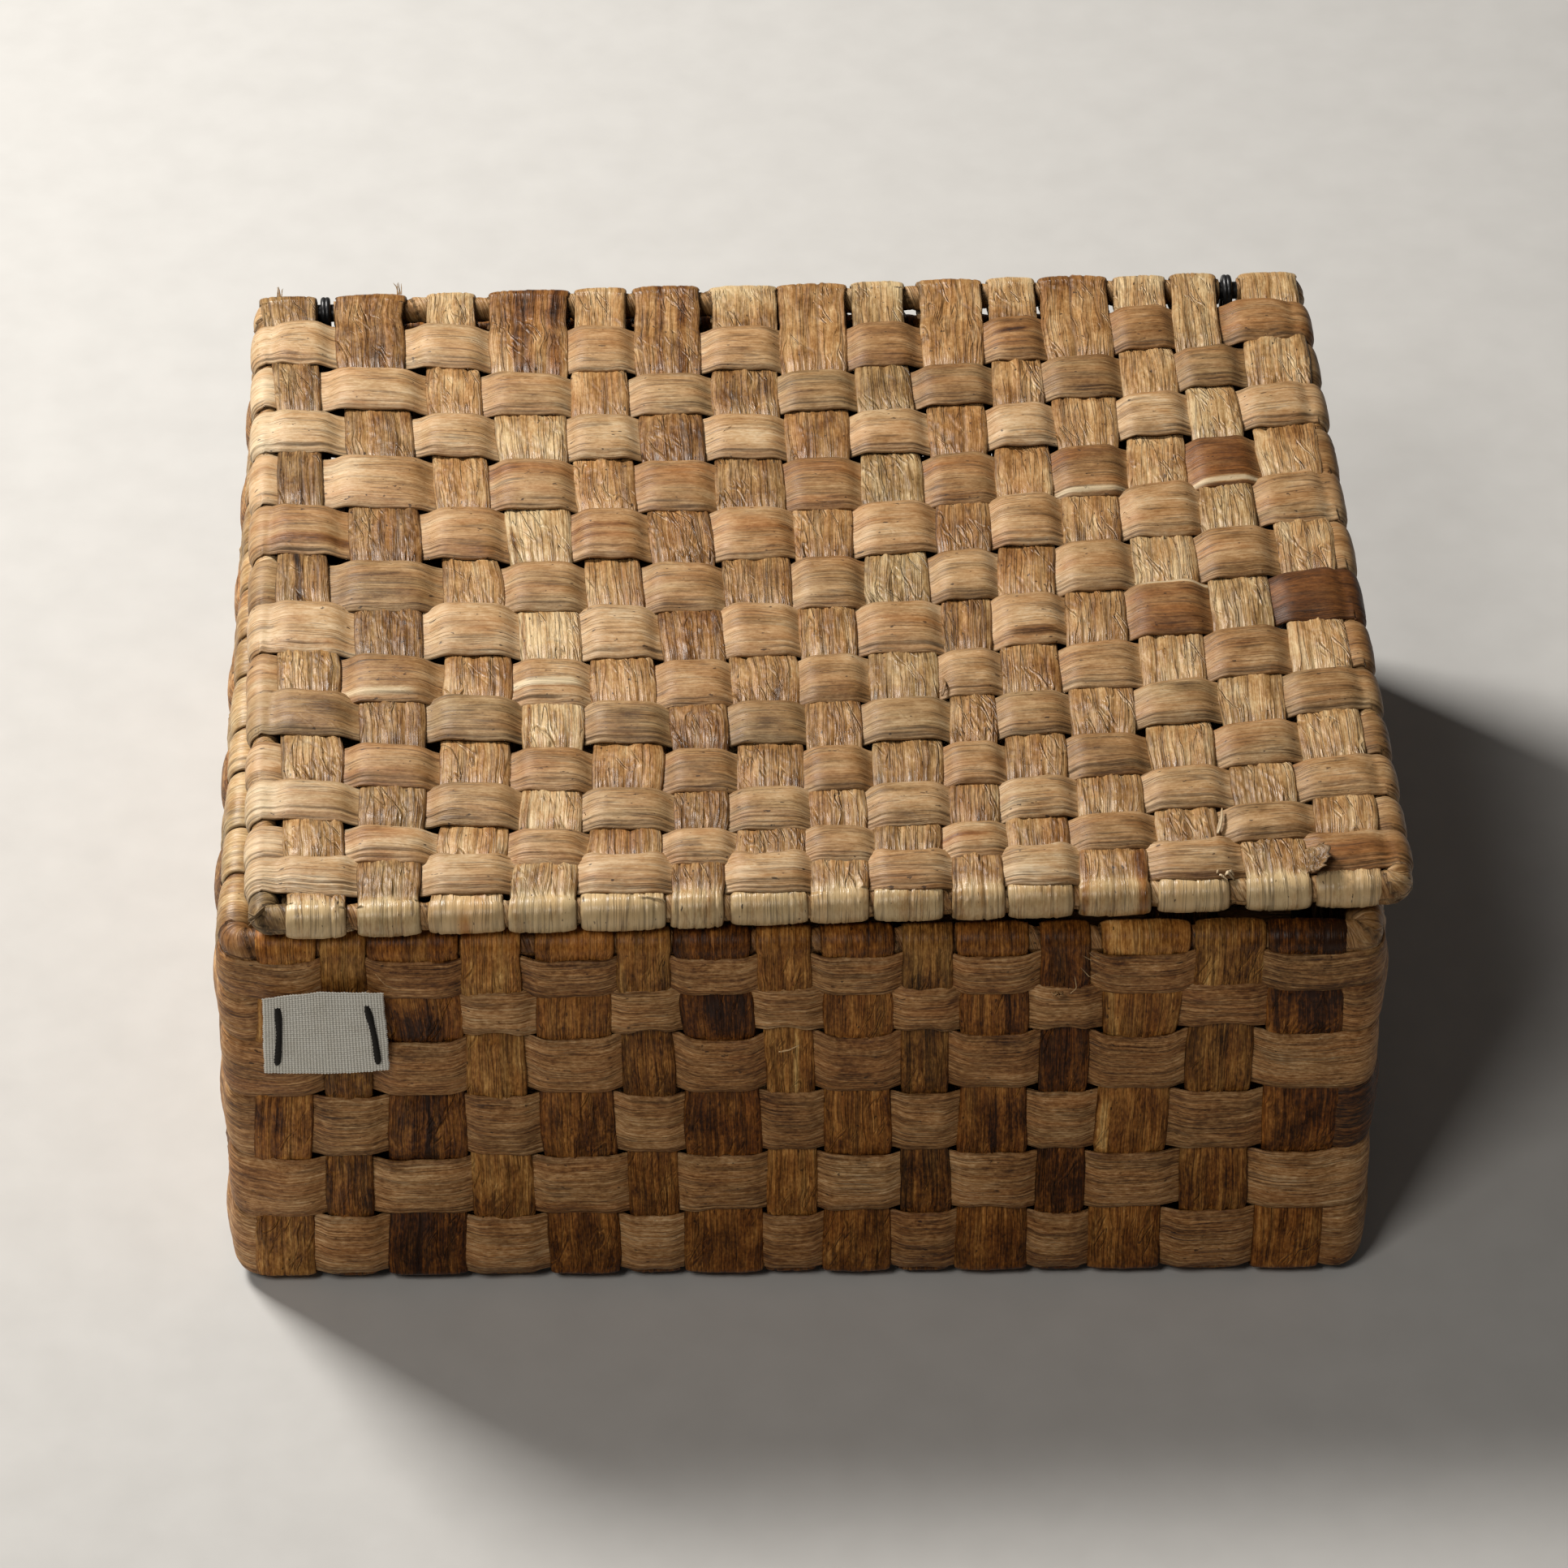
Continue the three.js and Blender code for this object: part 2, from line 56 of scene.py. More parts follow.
FRONT = [(-139.9, -124.0), (-123.4, -111.6), (-111.2, -87.6), (-87.4, -71.9), (-68.8, -48.8), (-47.5, -33.7), (-33.2, -13.1), (-11.9, 2.4), (4.3, 23.1), (25.4, 38.5), (39.1, 58.2), (60.7, 73.6), (76.3, 99.3), (100.6, 118.9), (119.3, 139.9)]
BACK = [(-139.6, -132.6), (-126.2, -110.6), (-109.0, -88.0), (-86.0, -69.5), (-67.5, -48.5), (-46.5, -32.0), (-30.5, -12.0), (-10.5, 4.0), (6.0, 24.5), (26.5, 40.5), (42.5, 60.5), (62.5, 77.0), (79.0, 100.5), (102.5, 124.0), (130.4, 139.6)]
SIDE = [(-125.6, -108.4), (-106.2, -90.4), (-88.0, -67.6), (-65.2, -49.8), (-47.4, -27.8), (-25.6, -10.8), (-8.6, 10.2), (12.4, 27.4), (29.4, 49.8), (52.2, 66.6), (68.8, 88.2), (90.4, 106.4), (108.4, 125.6)]
LID_FRONT = [(-139.4, -123.9), (-121.1, -105.0), (-103.6, -83.8), (-83.2, -65.7), (-64.8, -42.6), (-41.7, -28.5), (-26.4, -6.4), (-6.0, 9.1), (10.0, 28.2), (30.5, 43.7), (44.4, 61.4), (63.0, 81.1), (83.2, 101.3), (106.1, 122.5), (123.5, 140.6)]
LID_BACK = [(-148.0, -131.7), (-126.4, -106.6), (-100.6, -86.4), (-82.7, -60.4), (-58.2, -43.8), (-42.0, -22.8), (-19.8, -1.0), (-0.6, 19.0), (20.4, 35.4), (39.4, 57.8), (59.2, 72.8), (73.8, 93.4), (94.8, 109.6), (111.2, 124.4), (130.8, 147.5)]
# left and right edge of the lid's front-to-back strips at places between the front and back rods: (y, left, right)
LID_COLUMNS = [
    [(-70, -141.1, -124.8), (-31, -141.9, -125.3), (7, -142.3, -128.4), (48, -142.5, -129.9), (91, -143.2, -130.3)],
    [(-90, -120.6, -102.6), (-56, -120.5, -102.6), (-20, -121.7, -103.4), (24, -122.8, -102.9), (68, -123.2, -104.4), (105, -126.4, -106.9)],
    [(-109, -99.9, -81.6), (-73, -99.2, -80.2), (-36, -98.1, -79.4), (5, -97.5, -81.8), (48, -99.4, -84.0), (85, -101.0, -85.2)],
    [(-97, -78.8, -62.5), (-61, -77.2, -60.8), (-22, -77.4, -60.7), (22, -80.4, -62.5), (66, -82.1, -61.8), (104, -83.4, -60.9)],
    [(-110, -61.9, -43.0), (-75, -59.7, -40.9), (-41, -59.0, -42.0), (4, -59.2, -43.8), (47, -61.2, -43.9), (84, -61.0, -44.5)],
    [(-95, -38.7, -24.3), (-62, -38.4, -22.7), (-23, -40.6, -22.9), (21, -42.0, -24.5), (64, -42.5, -24.1), (102, -42.6, -23.6)],
    [(-110, -24.0, -5.4), (-78, -22.2, -4.7), (-40, -21.9, -3.6), (2, -22.2, -3.1), (45, -22.4, -3.1), (86, -21.8, -2.7)],
    [(-95, -4.1, 11.0), (-61, -3.2, 11.7), (-20, -3.0, 12.7), (22, -2.3, 14.1), (63, -2.4, 15.8), (112, -1.6, 17.9)],
    [(-112, 12.3, 29.4), (-78, 12.8, 31.8), (-41, 14.2, 33.0), (0, 16.2, 33.4), (43, 17.6, 34.9), (88, 18.8, 34.4)],
    [(-97, 32.2, 45.3), (-59, 34.7, 47.1), (-21, 35.4, 49.0), (21, 36.6, 51.6), (61, 37.6, 54.0), (110, 37.8, 56.1)],
    [(-112, 45.9, 62.3), (-79, 47.3, 64.0), (-39, 49.4, 65.2), (-1, 51.8, 67.9), (42, 54.4, 70.4), (86, 57.2, 71.2)],
    [(-95, 65.1, 82.9), (-60, 66.4, 84.0), (-23, 68.6, 84.9), (19, 71.3, 87.0), (63, 72.6, 90.6), (108, 72.6, 92.7)],
    [(-107, 84.4, 101.1), (-78, 85.2, 102.6), (-41, 86.6, 104.4), (-3, 88.6, 106.6), (40, 90.6, 107.6), (87, 93.0, 109.4)],
    [(-94, 105.4, 122.4), (-60, 106.0, 123.4), (-19, 107.6, 124.6), (23, 109.4, 124.8), (63, 110.2, 125.1), (107, 109.6, 123.2)],
    [(-106, 125.8, 142.5), (-75, 126.0, 143.0), (-36, 127.2, 143.6), (10, 128.2, 144.2), (46, 127.2, 144.6), (95, 128.4, 146.9)],
]
# the same for the front wall's uprights, at heights below the rim: (z, left, right)
FRONT_COLUMNS = [
    [(14, -144.6, -128.7), (55, -143.0, -127.3)], [(34, -125.1, -112.3), (75, -124.2, -111.4)], [(13, -108.7, -87.9), (55, -107.6, -86.7), (96, -107.4, -87.0)],
    [(34, -86.7, -69.9), (80, -86.7, -71.0)], [(13, -66.4, -47.4), (54, -67.8, -48.1), (94, -69.0, -49.0)], [(33, -45.1, -31.9), (80, -46.6, -32.6)],
    [(12, -30.8, -9.7), (54, -30.3, -9.8), (95, -30.6, -12.0)], [(33, -9.0, 4.5), (79, -9.6, 3.4)], [(12, 6.4, 24.8), (53, 6.4, 24.1), (96, 4.9, 23.3)],
    [(32, 26.3, 39.8), (79, 25.3, 37.9)], [(11, 41.2, 60.8), (53, 41.1, 59.3), (96, 40.7, 58.7)], [(32, 61.9, 74.8), (79, 61.3, 74.2)],
    [(11, 76.6, 96.0), (52, 76.6, 95.6), (95, 77.6, 97.0)], [(32, 99.9, 118.1), (78, 99.7, 117.1)], [(10, 120.4, 138.6), (52, 120.6, 140.1), (95, 120.0, 140.3)],
]
# middle and width of the lid's side-to-side strips where they arch up, measured at the left, middle and right
ROWS = [(-120.9, -121.9, -122.9, 15.2), (-109.7, -110.1, -110.4, 14.4), (-92.9, -94.2, -95.6, 16.8), (-78.5, -79.0, -79.5, 17.2), (-58.2, -59.3, -60.4, 17.6), (-43.3, -42.5, -41.7, 19.4), (-21.6, -21.1, -20.7, 22.4), (-3.8, -1.7, 0.4, 21.6), (19.7, 21.1, 22.5, 22.4), (42.4, 41.8, 41.3, 22.8), (64.2, 64.5, 64.9, 19.4), (84.0, 84.1, 84.2, 18.6), (105.3, 105.1, 104.9, 20.4)]
# lowest and highest edge of the body's bands where they arch out, and at the corners
BANDS = [(101.9, 114.9), (90.8, 105.2), (69.0, 87.5), (48.1, 68.1), (26.0, 45.7), (4.6, 24.5)]
CORNERS = [(102.6, 115.4), (87.6, 103.6), (67.6, 88.2), (46.6, 68.2), (24.8, 47.2), (3.4, 25.4)]


# ---------------------------------------------------------------- noise and helpers
def hashed(ix, iy, seed):
    h = (ix.astype(np.int64) * 374761393 + iy.astype(np.int64) * 668265263 + int(seed) * 974634777) & 0xFFFFFFFF
    h = ((h ^ (h >> 13)) * 1274126177) & 0xFFFFFFFF
    h = h ^ (h >> 16)
    return (h & 0xFFFFFF) / float(0xFFFFFF)


def noise(x, y, seed):
    """Value noise from -1 to 1."""
    x, y = np.broadcast_arrays(np.asarray(x, float), np.asarray(y, float))
    ix, iy = np.floor(x), np.floor(y)
    fx, fy = x - ix, y - iy
    fx, fy = fx * fx * (3 - 2 * fx), fy * fy * (3 - 2 * fy)
    a, b = hashed(ix, iy, seed), hashed(ix + 1, iy, seed)
    c, d = hashed(ix, iy + 1, seed), hashed(ix + 1, iy + 1, seed)
    return 2 * ((a + (b - a) * fx) * (1 - fy) + (c + (d - c) * fx) * fy) - 1


def step(a, b, x):
    t = np.clip((x - a) / (b - a), 0, 1)
    return t * t * (3 - 2 * t)


def unit(v):
    return v / np.maximum(np.linalg.norm(v, axis=-1, keepdims=True), 1e-12)


def blur(values, spacing, sigma):
    if sigma <= 0:
        return values
    n = int(math.ceil(3 * sigma / spacing))
    k = np.exp(-0.5 * (np.arange(-n, n + 1) * spacing / sigma) ** 2)
    k /= k.sum()
    return np.convolve(np.pad(values, n, mode="edge"), k, mode="valid")


def lid_place(p):
    c, s = math.cos(LID_TURN), math.sin(LID_TURN)
    q = p.copy()
    q[..., 0] = LID_X + p[..., 0] * c - p[..., 1] * s
    q[..., 1] = LID_Y + p[..., 0] * s + p[..., 1] * c
    return q


def mesh_object(name, co, faces, attributes, material, body, nodes=()):
    """faces is a list of arrays, each of faces with the same number of corners."""
    me = bpy.data.meshes.new(name)
    me.vertices.add(len(co))
    me.vertices.foreach_set("co", (co * 0.001).astype(np.float32).ravel())
    loops = np.concatenate([f.ravel() for f in faces]).astype(np.int32)
    sizes = np.concatenate([np.full(len(f), f.shape[1], np.int32) for f in faces])
    starts = np.concatenate([[0], np.cumsum(sizes)[:-1]]).astype(np.int32)
    me.loops.add(len(loops))
    me.loops.foreach_set("vertex_index", loops)
    me.polygons.add(len(sizes))
    me.polygons.foreach_set("loop_start", starts)
    me.polygons.foreach_set("use_smooth", np.ones(len(sizes), bool))
    for key, value in attributes.items():
        value = np.asarray(value, np.float32)
        if value.ndim == 1:
            me.attributes.new(key, "FLOAT", "POINT").data.foreach_set("value", value)
        else:
            me.attributes.new(key, "FLOAT_VECTOR", "POINT").data.foreach_set("vector", value.ravel())
    me.update(calc_edges=True)
    me.validate()
    me.materials.append(material)
    o = bpy.data.objects.new(name, me)
    bpy.context.scene.collection.objects.link(o)
    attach(o, body)
    if nodes:
        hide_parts(*nodes)
    return o


# ---------------------------------------------------------------- paths seen from their edge
class Edge:
    """A line of straight and round parts in a plane, with its outward normal."""

    def __init__(self):
        self.p, self.n = [], []

    def line(self, a, b, normal):
        a, b = np.array(a, float), np.array(b, float)
        k = max(2, int(np.linalg.norm(b - a) / 0.2) + 1)
        for t in np.linspace(0, 1, k):
            self.p.append(a + (b - a) * t)
            self.n.append(np.array(normal, float))
        return self

    def arc(self, c, r, a0, a1, sign=1.0):
        k = max(3, int(abs(math.radians(a1 - a0)) * r / 0.2) + 1)
        for a in np.radians(np.linspace(a0, a1, k)):
            d = np.array([math.cos(a), math.sin(a)])
            self.p.append(np.array(c, float) + r * d)
            self.n.append(d * sign)
        return self

    def done(self):
        p, n = np.array(self.p), unit(np.array(self.n))
        s = np.concatenate([[0], np.cumsum(np.linalg.norm(np.diff(p, axis=0), axis=1))])
        keep = np.concatenate([[True], np.diff(s) > 1e-6])
        p, n, s = p[keep], n[keep], s[keep]
        for k in (0, 1):
            n[:, k] = blur(n[:, k], 0.2, 0.35)
        return s, p, unit(n)


def tangent_angle(point, radius, side):
    """Angle at which a line from the point touches the circle about the origin."""
    d = math.hypot(*point)
    return math.degrees(math.atan2(point[1], point[0])) + side * math.degrees(math.acos(radius / d))


def normal_of(a, b, left=True):
    d = np.array(b, float) - np.array(a, float)
    d /= np.linalg.norm(d)
    return np.array([-d[1], d[0]]) if left else np.array([d[1], -d[0]])


def folded_flat_path(half, tail):
    """Lid strip: tucked end, round the front rod, along the top, round the rear rod, tucked end. Columns are the level axis and Z."""
    e = Edge()
    tip = (tail, 1.9)
    a = tangent_angle(tip, FOLD, -1)
    foot = (-half + FOLD * math.cos(math.radians(a)), LID_Z + FOLD * math.sin(math.radians(a)))
    start = (-half + tip[0], LID_Z + tip[1])
    e.line(start, foot, normal_of(start, foot, True) * np.array([1, 1]))
    # from under the rod, round its outside, to the top
    e.arc((-half, LID_Z), FOLD, a, -270)
    e.line((-half, LID_TOP), (half, LID_TOP), (0, 1))
    e.arc((half, LID_Z), FOLD, 90, -180 - a)
    foot2, start2 = (-foot[0], foot[1]), (-start[0], start[1])
    e.line(foot2, start2, normal_of(foot2, start2, True))
    return e.done()


def wall_path(half, base_z, tail):
    """Body strip: tucked end inside the wall, over the rim rod, down the wall, under the base, and up the far wall."""
    e = Edge()
    tip = (-1.9, -tail)
    a = tangent_angle(tip, FOLD, 1)
    rod = half - (FOLD)
    foot = (-rod + FOLD * math.cos(math.radians(a)), RIM_Z + FOLD * math.sin(math.radians(a)))
    start = (-rod + tip[0], RIM_Z + tip[1])
    e.line(start, foot, normal_of(start, foot, False) * -1 * -1)
    e.arc((-rod, RIM_Z), FOLD, a, 180)
    r = 3.4
    e.line((-half, RIM_Z), (-half, base_z + r), (-1, 0))
    e.arc((-half + r, base_z + r), r, 180, 270)
    e.line((-half + r, base_z), (half - r, base_z), (0, -1))
    e.arc((half - r, base_z + r), r, -90, 0)
    e.line((half, base_z + r), (half, RIM_Z), (1, 0))
    e.arc((rod, RIM_Z), FOLD, 0, 180 - a)
    foot2, start2 = (-foot[0], foot[1]), (-start[0], start[1])
    e.line(foot2, start2, normal_of(foot2, start2, False) * -1 * -1)
    return e.done()


# ---------------------------------------------------------------- weaving
class Weave:
    """How far a strip lies in front of or behind its middle plane, along its length, from the strips that it crosses."""

    def __init__(self, edges, outer, over, under, k=2.3, soft=1.0):
        edges = np.asarray(edries_ok(edges), float)
        outer = np.asarray(outer, bool)
        n = len(outer)
        over = np.broadcast_to(np.asarray(over, float), (n,))
        under = np.broadcast_to(np.asarray(under, float), (n,))
        self.g = np.arange(edges[0] - 20, edges[-1] + 20, 0.2)
        j = np.clip(np.searchsorted(edges, self.g, side="right") - 1, 0, n - 1)
        inside = (self.g >= edges[0]) & (self.g <= edges[-1])
        frac = np.clip((self.g - edges[j]) / (edges[j + 1] - edges[j]), 0, 1)
        lobe = np.tanh(k * np.sin(np.pi * frac)) / math.tanh(k)
        lobe[~inside] = 0
        self.H = blur(np.where(outer[j], over[j], -under[j]) * lobe, 0.2, soft)
        self.bulge = blur(np.where(outer[j] & inside, np.sin(np.pi * frac) ** 0.75, 0), 0.2, soft * 1.3)
        self.pinch = blur(np.where(inside, 1 - lobe, 0), 0.2, soft)
        self.shown = blur(np.where(outer[j] & inside, 1.0, 0.0), 0.2, soft)
        self.cell = np.where(inside, j, -1)

    def at(self, x, what="H"):
        return np.interp(x, self.g, getattr(self, what))


def edries_ok(edges):
    edges = list(edges)
    if any(b <= a for a, b in zip(edges, edges[1:])):
        raise ValueError("the edges of the crossings must rise")
    return edges


# ---------------------------------------------------------------- one strip
TOP_POINTS, UNDER_POINTS = 45, 7
STYLES = {
    # pleats: broad, middle and fine ridges; slant: diagonal crumples; creases: long ones; folds: short ones for each 10 mm; layers at the lower edge
    "weft": dict(thick=1.35, pleats=(0.035, 0.02, 0.035), slant=0.0, sharp=0.03, creases=4, depth=0.13, folds=0.5, fold_depth=0.12, layers=3),
    "warp": dict(thick=1.25, pleats=(0.23, 0.06, 0.03), slant=0.13, sharp=0.24, creases=6, depth=0.30, folds=2.2, fold_depth=0.30, layers=0),
    "band": dict(thick=1.30, pleats=(0.04, 0.03, 0.05), slant=0.0, sharp=0.05, creases=8, depth=0.17, folds=0.5, fold_depth=0.12, layers=2),
    "upright": dict(thick=1.25, pleats=(0.22, 0.06, 0.035), slant=0.11, sharp=0.22, creases=6, depth=0.28, folds=2.0, fold_depth=0.28, layers=0),
}


def strip(name, s, P, N, B, H, lat, half, crown, style, seed, tone, material, body, nodes, place=None, pinch=None, patches=(), lines=(), crumples=()):
    """Builds one flattened stalk. s, P, N: length and middle line with its outward normal. B: direction of its width.
    H: out of the plane, lat: sideways, half: half width, crown: how far the edges curl down, all along its length.
    tone: light, red and grey. patches: (from, to, light, red, grey) added along the strip."""
    st = STYLES[style]
    rng = np.random.default_rng(seed)
    n = len(s)
    C = P + N * H[:, None] + B * lat[:, None]
    T = unit(np.gradient(C, s, axis=0))
    Bn = unit(B - T * (B * T).sum(1, keepdims=True))
    Nn = np.cross(T, Bn)
    Nn *= np.sign((Nn * N).sum(1, keepdims=True))
    pinch = np.zeros(n) if pinch is None else pinch
    hw = half.mean()
    left = half * (1 + 0.035 * noise(s / 17, 0, seed + 1) + 0.015 * noise(s / 4.5, 0, seed + 2))
    right = half * (1 + 0.035 * noise(s / 17, 0, seed + 3) + 0.015 * noise(s / 4.5, 0, seed + 4))
    t = np.linspace(-1, 1, TOP_POINTS)
    t = np.sign(t) * (1 - (1 - np.abs(t)) ** 1.12)
    S, Tt = s[:, None], t[None, :]
    V = Tt * hw
    across = np.where(Tt < 0, Tt * left[:, None], Tt * right[:, None])
    edge = np.sqrt(np.clip(1 - np.abs(t) ** 12, 0, 1))[None, :]
    inner = (1 - np.abs(t) ** 6)[None, :]
    # relief
    a1, a2, a3 = st["pleats"]
    bent = np.linalg.norm(np.gradient(N, s, axis=0), axis=1)
    calm = 1 - 0.75 * blur(np.clip(bent / 0.15, 0, 1), 1.0, 1.5)[:n, None]  # smooth where it is pulled round a rod
    wander = 1.2 * noise(S / 60, 0, seed + 5) + 0.9 * noise(S / 15, V / 7, seed + 6) + 0.35 * noise(S / 5.5, V / 3, seed + 7)
    gather = 1 + 0.9 * pinch[:, None]
    relief = a1 * noise((V + wander) / 2.7, S / 42, seed + 11) * gather * calm
    relief += a2 * noise((V + wander) / 1.15, S / 26, seed + 12) * gather * calm
    relief += a3 * noise(V / 0.62, S / 15, seed + 13) * (0.35 + 0.65 * calm)
    relief += 0.06 * noise(V / 4.0, S / 9.0, seed + 14)
    # sharp lengthwise wrinkles that wander and fork
    ridged = np.abs(noise((V + 0.9 * wander) / 2.2, S / 26, seed + 19))
    where = step(-0.35, 0.35, noise(V / 8, S / 14, seed + 20))
    valley = (1 - np.clip(ridged / 0.16, 0, 1)) ** 2 * where
    relief += (-st["sharp"] * 1.3 * valley + st["sharp"] * 0.45 * (1 - ridged * 2)) * (0.35 + 0.65 * calm)
    if st["slant"]:
        m1 = step(0.0, 0.5, noise(V / 9, S / 16, seed + 15))
        m2 = step(0.0, 0.5, noise(V / 8, S / 15, seed + 16))
        relief += st["slant"] * calm * m1 * (1 - np.abs(noise((V + 0.42 * S) / 1.9, S / 30, seed + 17)) * 2)
        relief += st["slant"] * calm * m2 * (1 - np.abs(noise((V - 0.38 * S) / 2.1, S / 28, seed + 18)) * 2)
    # painted shade: the wrinkle valleys are made darker
    shade_and_dark_lines = 0.38 * valley * min(1.0, st["sharp"] * 5)
    if st["slant"]:  # patches that are crumpled like paper
        push = 0.6 * noise(S / 8, V / 5, seed + 81)
        net_a = np.abs(noise(S / 5.2 + push, V / 3.0 - push, seed + 82))
        net_b = np.abs(noise(S / 6.5 - push, V / 4.2 + 0.12 * S, seed + 84))
        spot = step(-0.08, 0.34, noise(V / 12 + 3, S / 16, seed + 85)) * calm
        for a0, b0, amount in crumples:
            spot = np.maximum(spot, amount * step(a0 - 2, a0 + 2, S) * (1 - step(b0 - 2, b0 + 2, S)))
        ridge_a, ridge_b = (1 - np.clip(net_a / 0.16, 0, 1)) ** 1.4, (1 - np.clip(net_b / 0.13, 0, 1)) ** 1.4
        relief += 0.36 * spot * (ridge_a - 0.8 * ridge_b)
        # painted shade: the hollows of the crumples are made darker
        shade_and_dark_lines = np.maximum(shade_and_dark_lines, 0.42 * ridge_b * spot)
    for k in range(st["creases"]):
        v0 = rng.uniform(-0.86, 0.86) * hw
        v = v0 + 0.9 * noise(s / 55, k, seed + 21) + 0.35 * noise(s / 13, k, seed + 22)
        deep = step(-0.15, 0.45, noise(s / 33, k, seed + 23)) * rng.uniform(0.5, 1.0)
        width = rng.uniform(0.22, 0.34)
        groove = np.exp(-(((V - v[:, None]) / width) ** 2)) * deep[:, None]
        shoulder = np.exp(-(((V - v[:, None] - 0.75) / 0.5) ** 2)) * deep[:, None]
        relief += -st["depth"] * groove + 0.35 * st["depth"] * shoulder
        # the creases are darker: partly the stalk's own dark lines, partly painted shade in the groove
        shade_and_dark_lines = np.maximum(shade_and_dark_lines, groove * (0.8 if st["slant"] else 0.5))
    # short creases at an angle
    for k in range(int(st["folds"] * (s[-1] - s[0]) / 10)):
        s0, v0 = rng.uniform(s[0], s[-1]), rng.uniform(-0.95, 0.95) * hw
        lean = math.radians(rng.choice([-1, 1]) * abs(rng.normal(14, 22)))
        size, deep, width = rng.uniform(4, 13), rng.uniform(0.35, 1.0) * st["fold_depth"], rng.uniform(0.24, 0.42)
        bend = rng.normal(0, 0.025)
        r0, r1 = np.searchsorted(s, [s0 - size, s0 + size])
        if r1 - r0 < 3:
            continue
        ds, dv = S[r0:r1] - s0, V - v0
        along = ds * math.cos(lean) + dv * math.sin(lean)
        off = dv * math.cos(lean) - ds * math.sin(lean) + bend * along ** 2
        reach = np.clip(1 - np.abs(along) / (size / 2), 0, 1) ** 0.6
        quiet = 0.4 + 0.6 * calm[r0:r1]
        groove = np.exp(-((off / width) ** 2)) * reach
        relief[r0:r1] += quiet * deep * (-groove + 0.55 * np.exp(-(((off - 0.7) / 0.5) ** 2)) * reach)
        # painted shade in each short crease
        shade_and_dark_lines[r0:r1] = np.maximum(shade_and_dark_lines[r0:r1], groove * 0.7 * quiet * (deep / 0.3))
    # the stalk is folded over at its lower edge, so that thin layers show there
    for k in range(st["layers"]):
        away = (1.0 + 1.0 * k) * rng.uniform(0.85, 1.15) + 0.25 * noise(s / 19, k, seed + 31) + 0.5 * np.clip(noise(s / 60, k, seed + 33), 0, 1)
        past = (-left + away)[:, None] - across  # mm outside the line
        there = step(-0.6, -0.2, noise(s / 40, k, seed + 32))[:, None]
        relief += (-0.22 * step(-0.10, 0.15, past) + 0.07 * np.exp(-(((past + 0.4) / 0.3) ** 2))) * there
        # painted shadow: a dark line where each layer steps down
        shade_and_dark_lines = np.maximum(shade_and_dark_lines, 0.85 * np.exp(-(((past - 0.06) / 0.15) ** 2)) * there)
    if st["layers"]:
        past = across - (right - 1.3 * (1 + 0.3 * noise(s / 30, 3, seed + 34)))[:, None]
        there = step(0.0, 0.3, noise(s / 36, 5, seed + 35))[:, None]
        relief += -0.2 * step(-0.10, 0.15, past) * there
        # painted shadow: a dark line where the layer steps down
        shade_and_dark_lines = np.maximum(shade_and_dark_lines, 0.6 * np.exp(-(((past - 0.06) / 0.15) ** 2)) * there)
    # the edges curl down, and the strip sags a little here and there
    curl = -crown[:, None] * np.abs(Tt) ** 2.7
    sag = 0.14 * noise(S / 11, V / 14, seed + 41)
    top = 0.5 * st["thick"] * edge + curl + (relief + sag) * inner
    tu = np.linspace(1, -1, UNDER_POINTS + 2)[1:-1]
    under_edge = np.sqrt(np.clip(1 - np.abs(tu) ** 12, 0, 1))[None, :]
    rel_under = 0.12 * noise(tu[None, :] * hw / 1.6, S / 30, seed + 51)
    bottom = -0.5 * st["thick"] * under_edge - crown[:, None] * np.abs(tu[None, :]) ** 2.7 + rel_under
    bottom = np.minimum(bottom, np.array([np.interp(tu, t, row) for row in top]) - 0.35)
    under_across = np.where(tu[None, :] < 0, tu[None, :] * left[:, None], tu[None, :] * right[:, None])
    z = np.concatenate([top, bottom], axis=1)
    x = np.concatenate([across, under_across], axis=1)
    co = C[:, None, :] + Bn[:, None, :] * x[..., None] + Nn[:, None, :] * z[..., None]
    m = z.shape[1]
    if place:
        co = place(co)
    i = np.arange(n - 1)[:, None] * m
    j = np.arange(m)[None, :]
    jj = (j + 1) % m
    quads = np.stack([i + j, i + jj, i + m + jj, i + m + j], -1).reshape(-1, 4)
    if np.cross(Bn[n // 2], T[n // 2]) @ Nn[n // 2] > 0:
        quads = quads[:, ::-1]
        caps = np.stack([np.arange(m), np.arange(m)[::-1] + (n - 1) * m])
    else:
        caps = np.stack([np.arange(m)[::-1], np.arange(m) + (n - 1) * m])
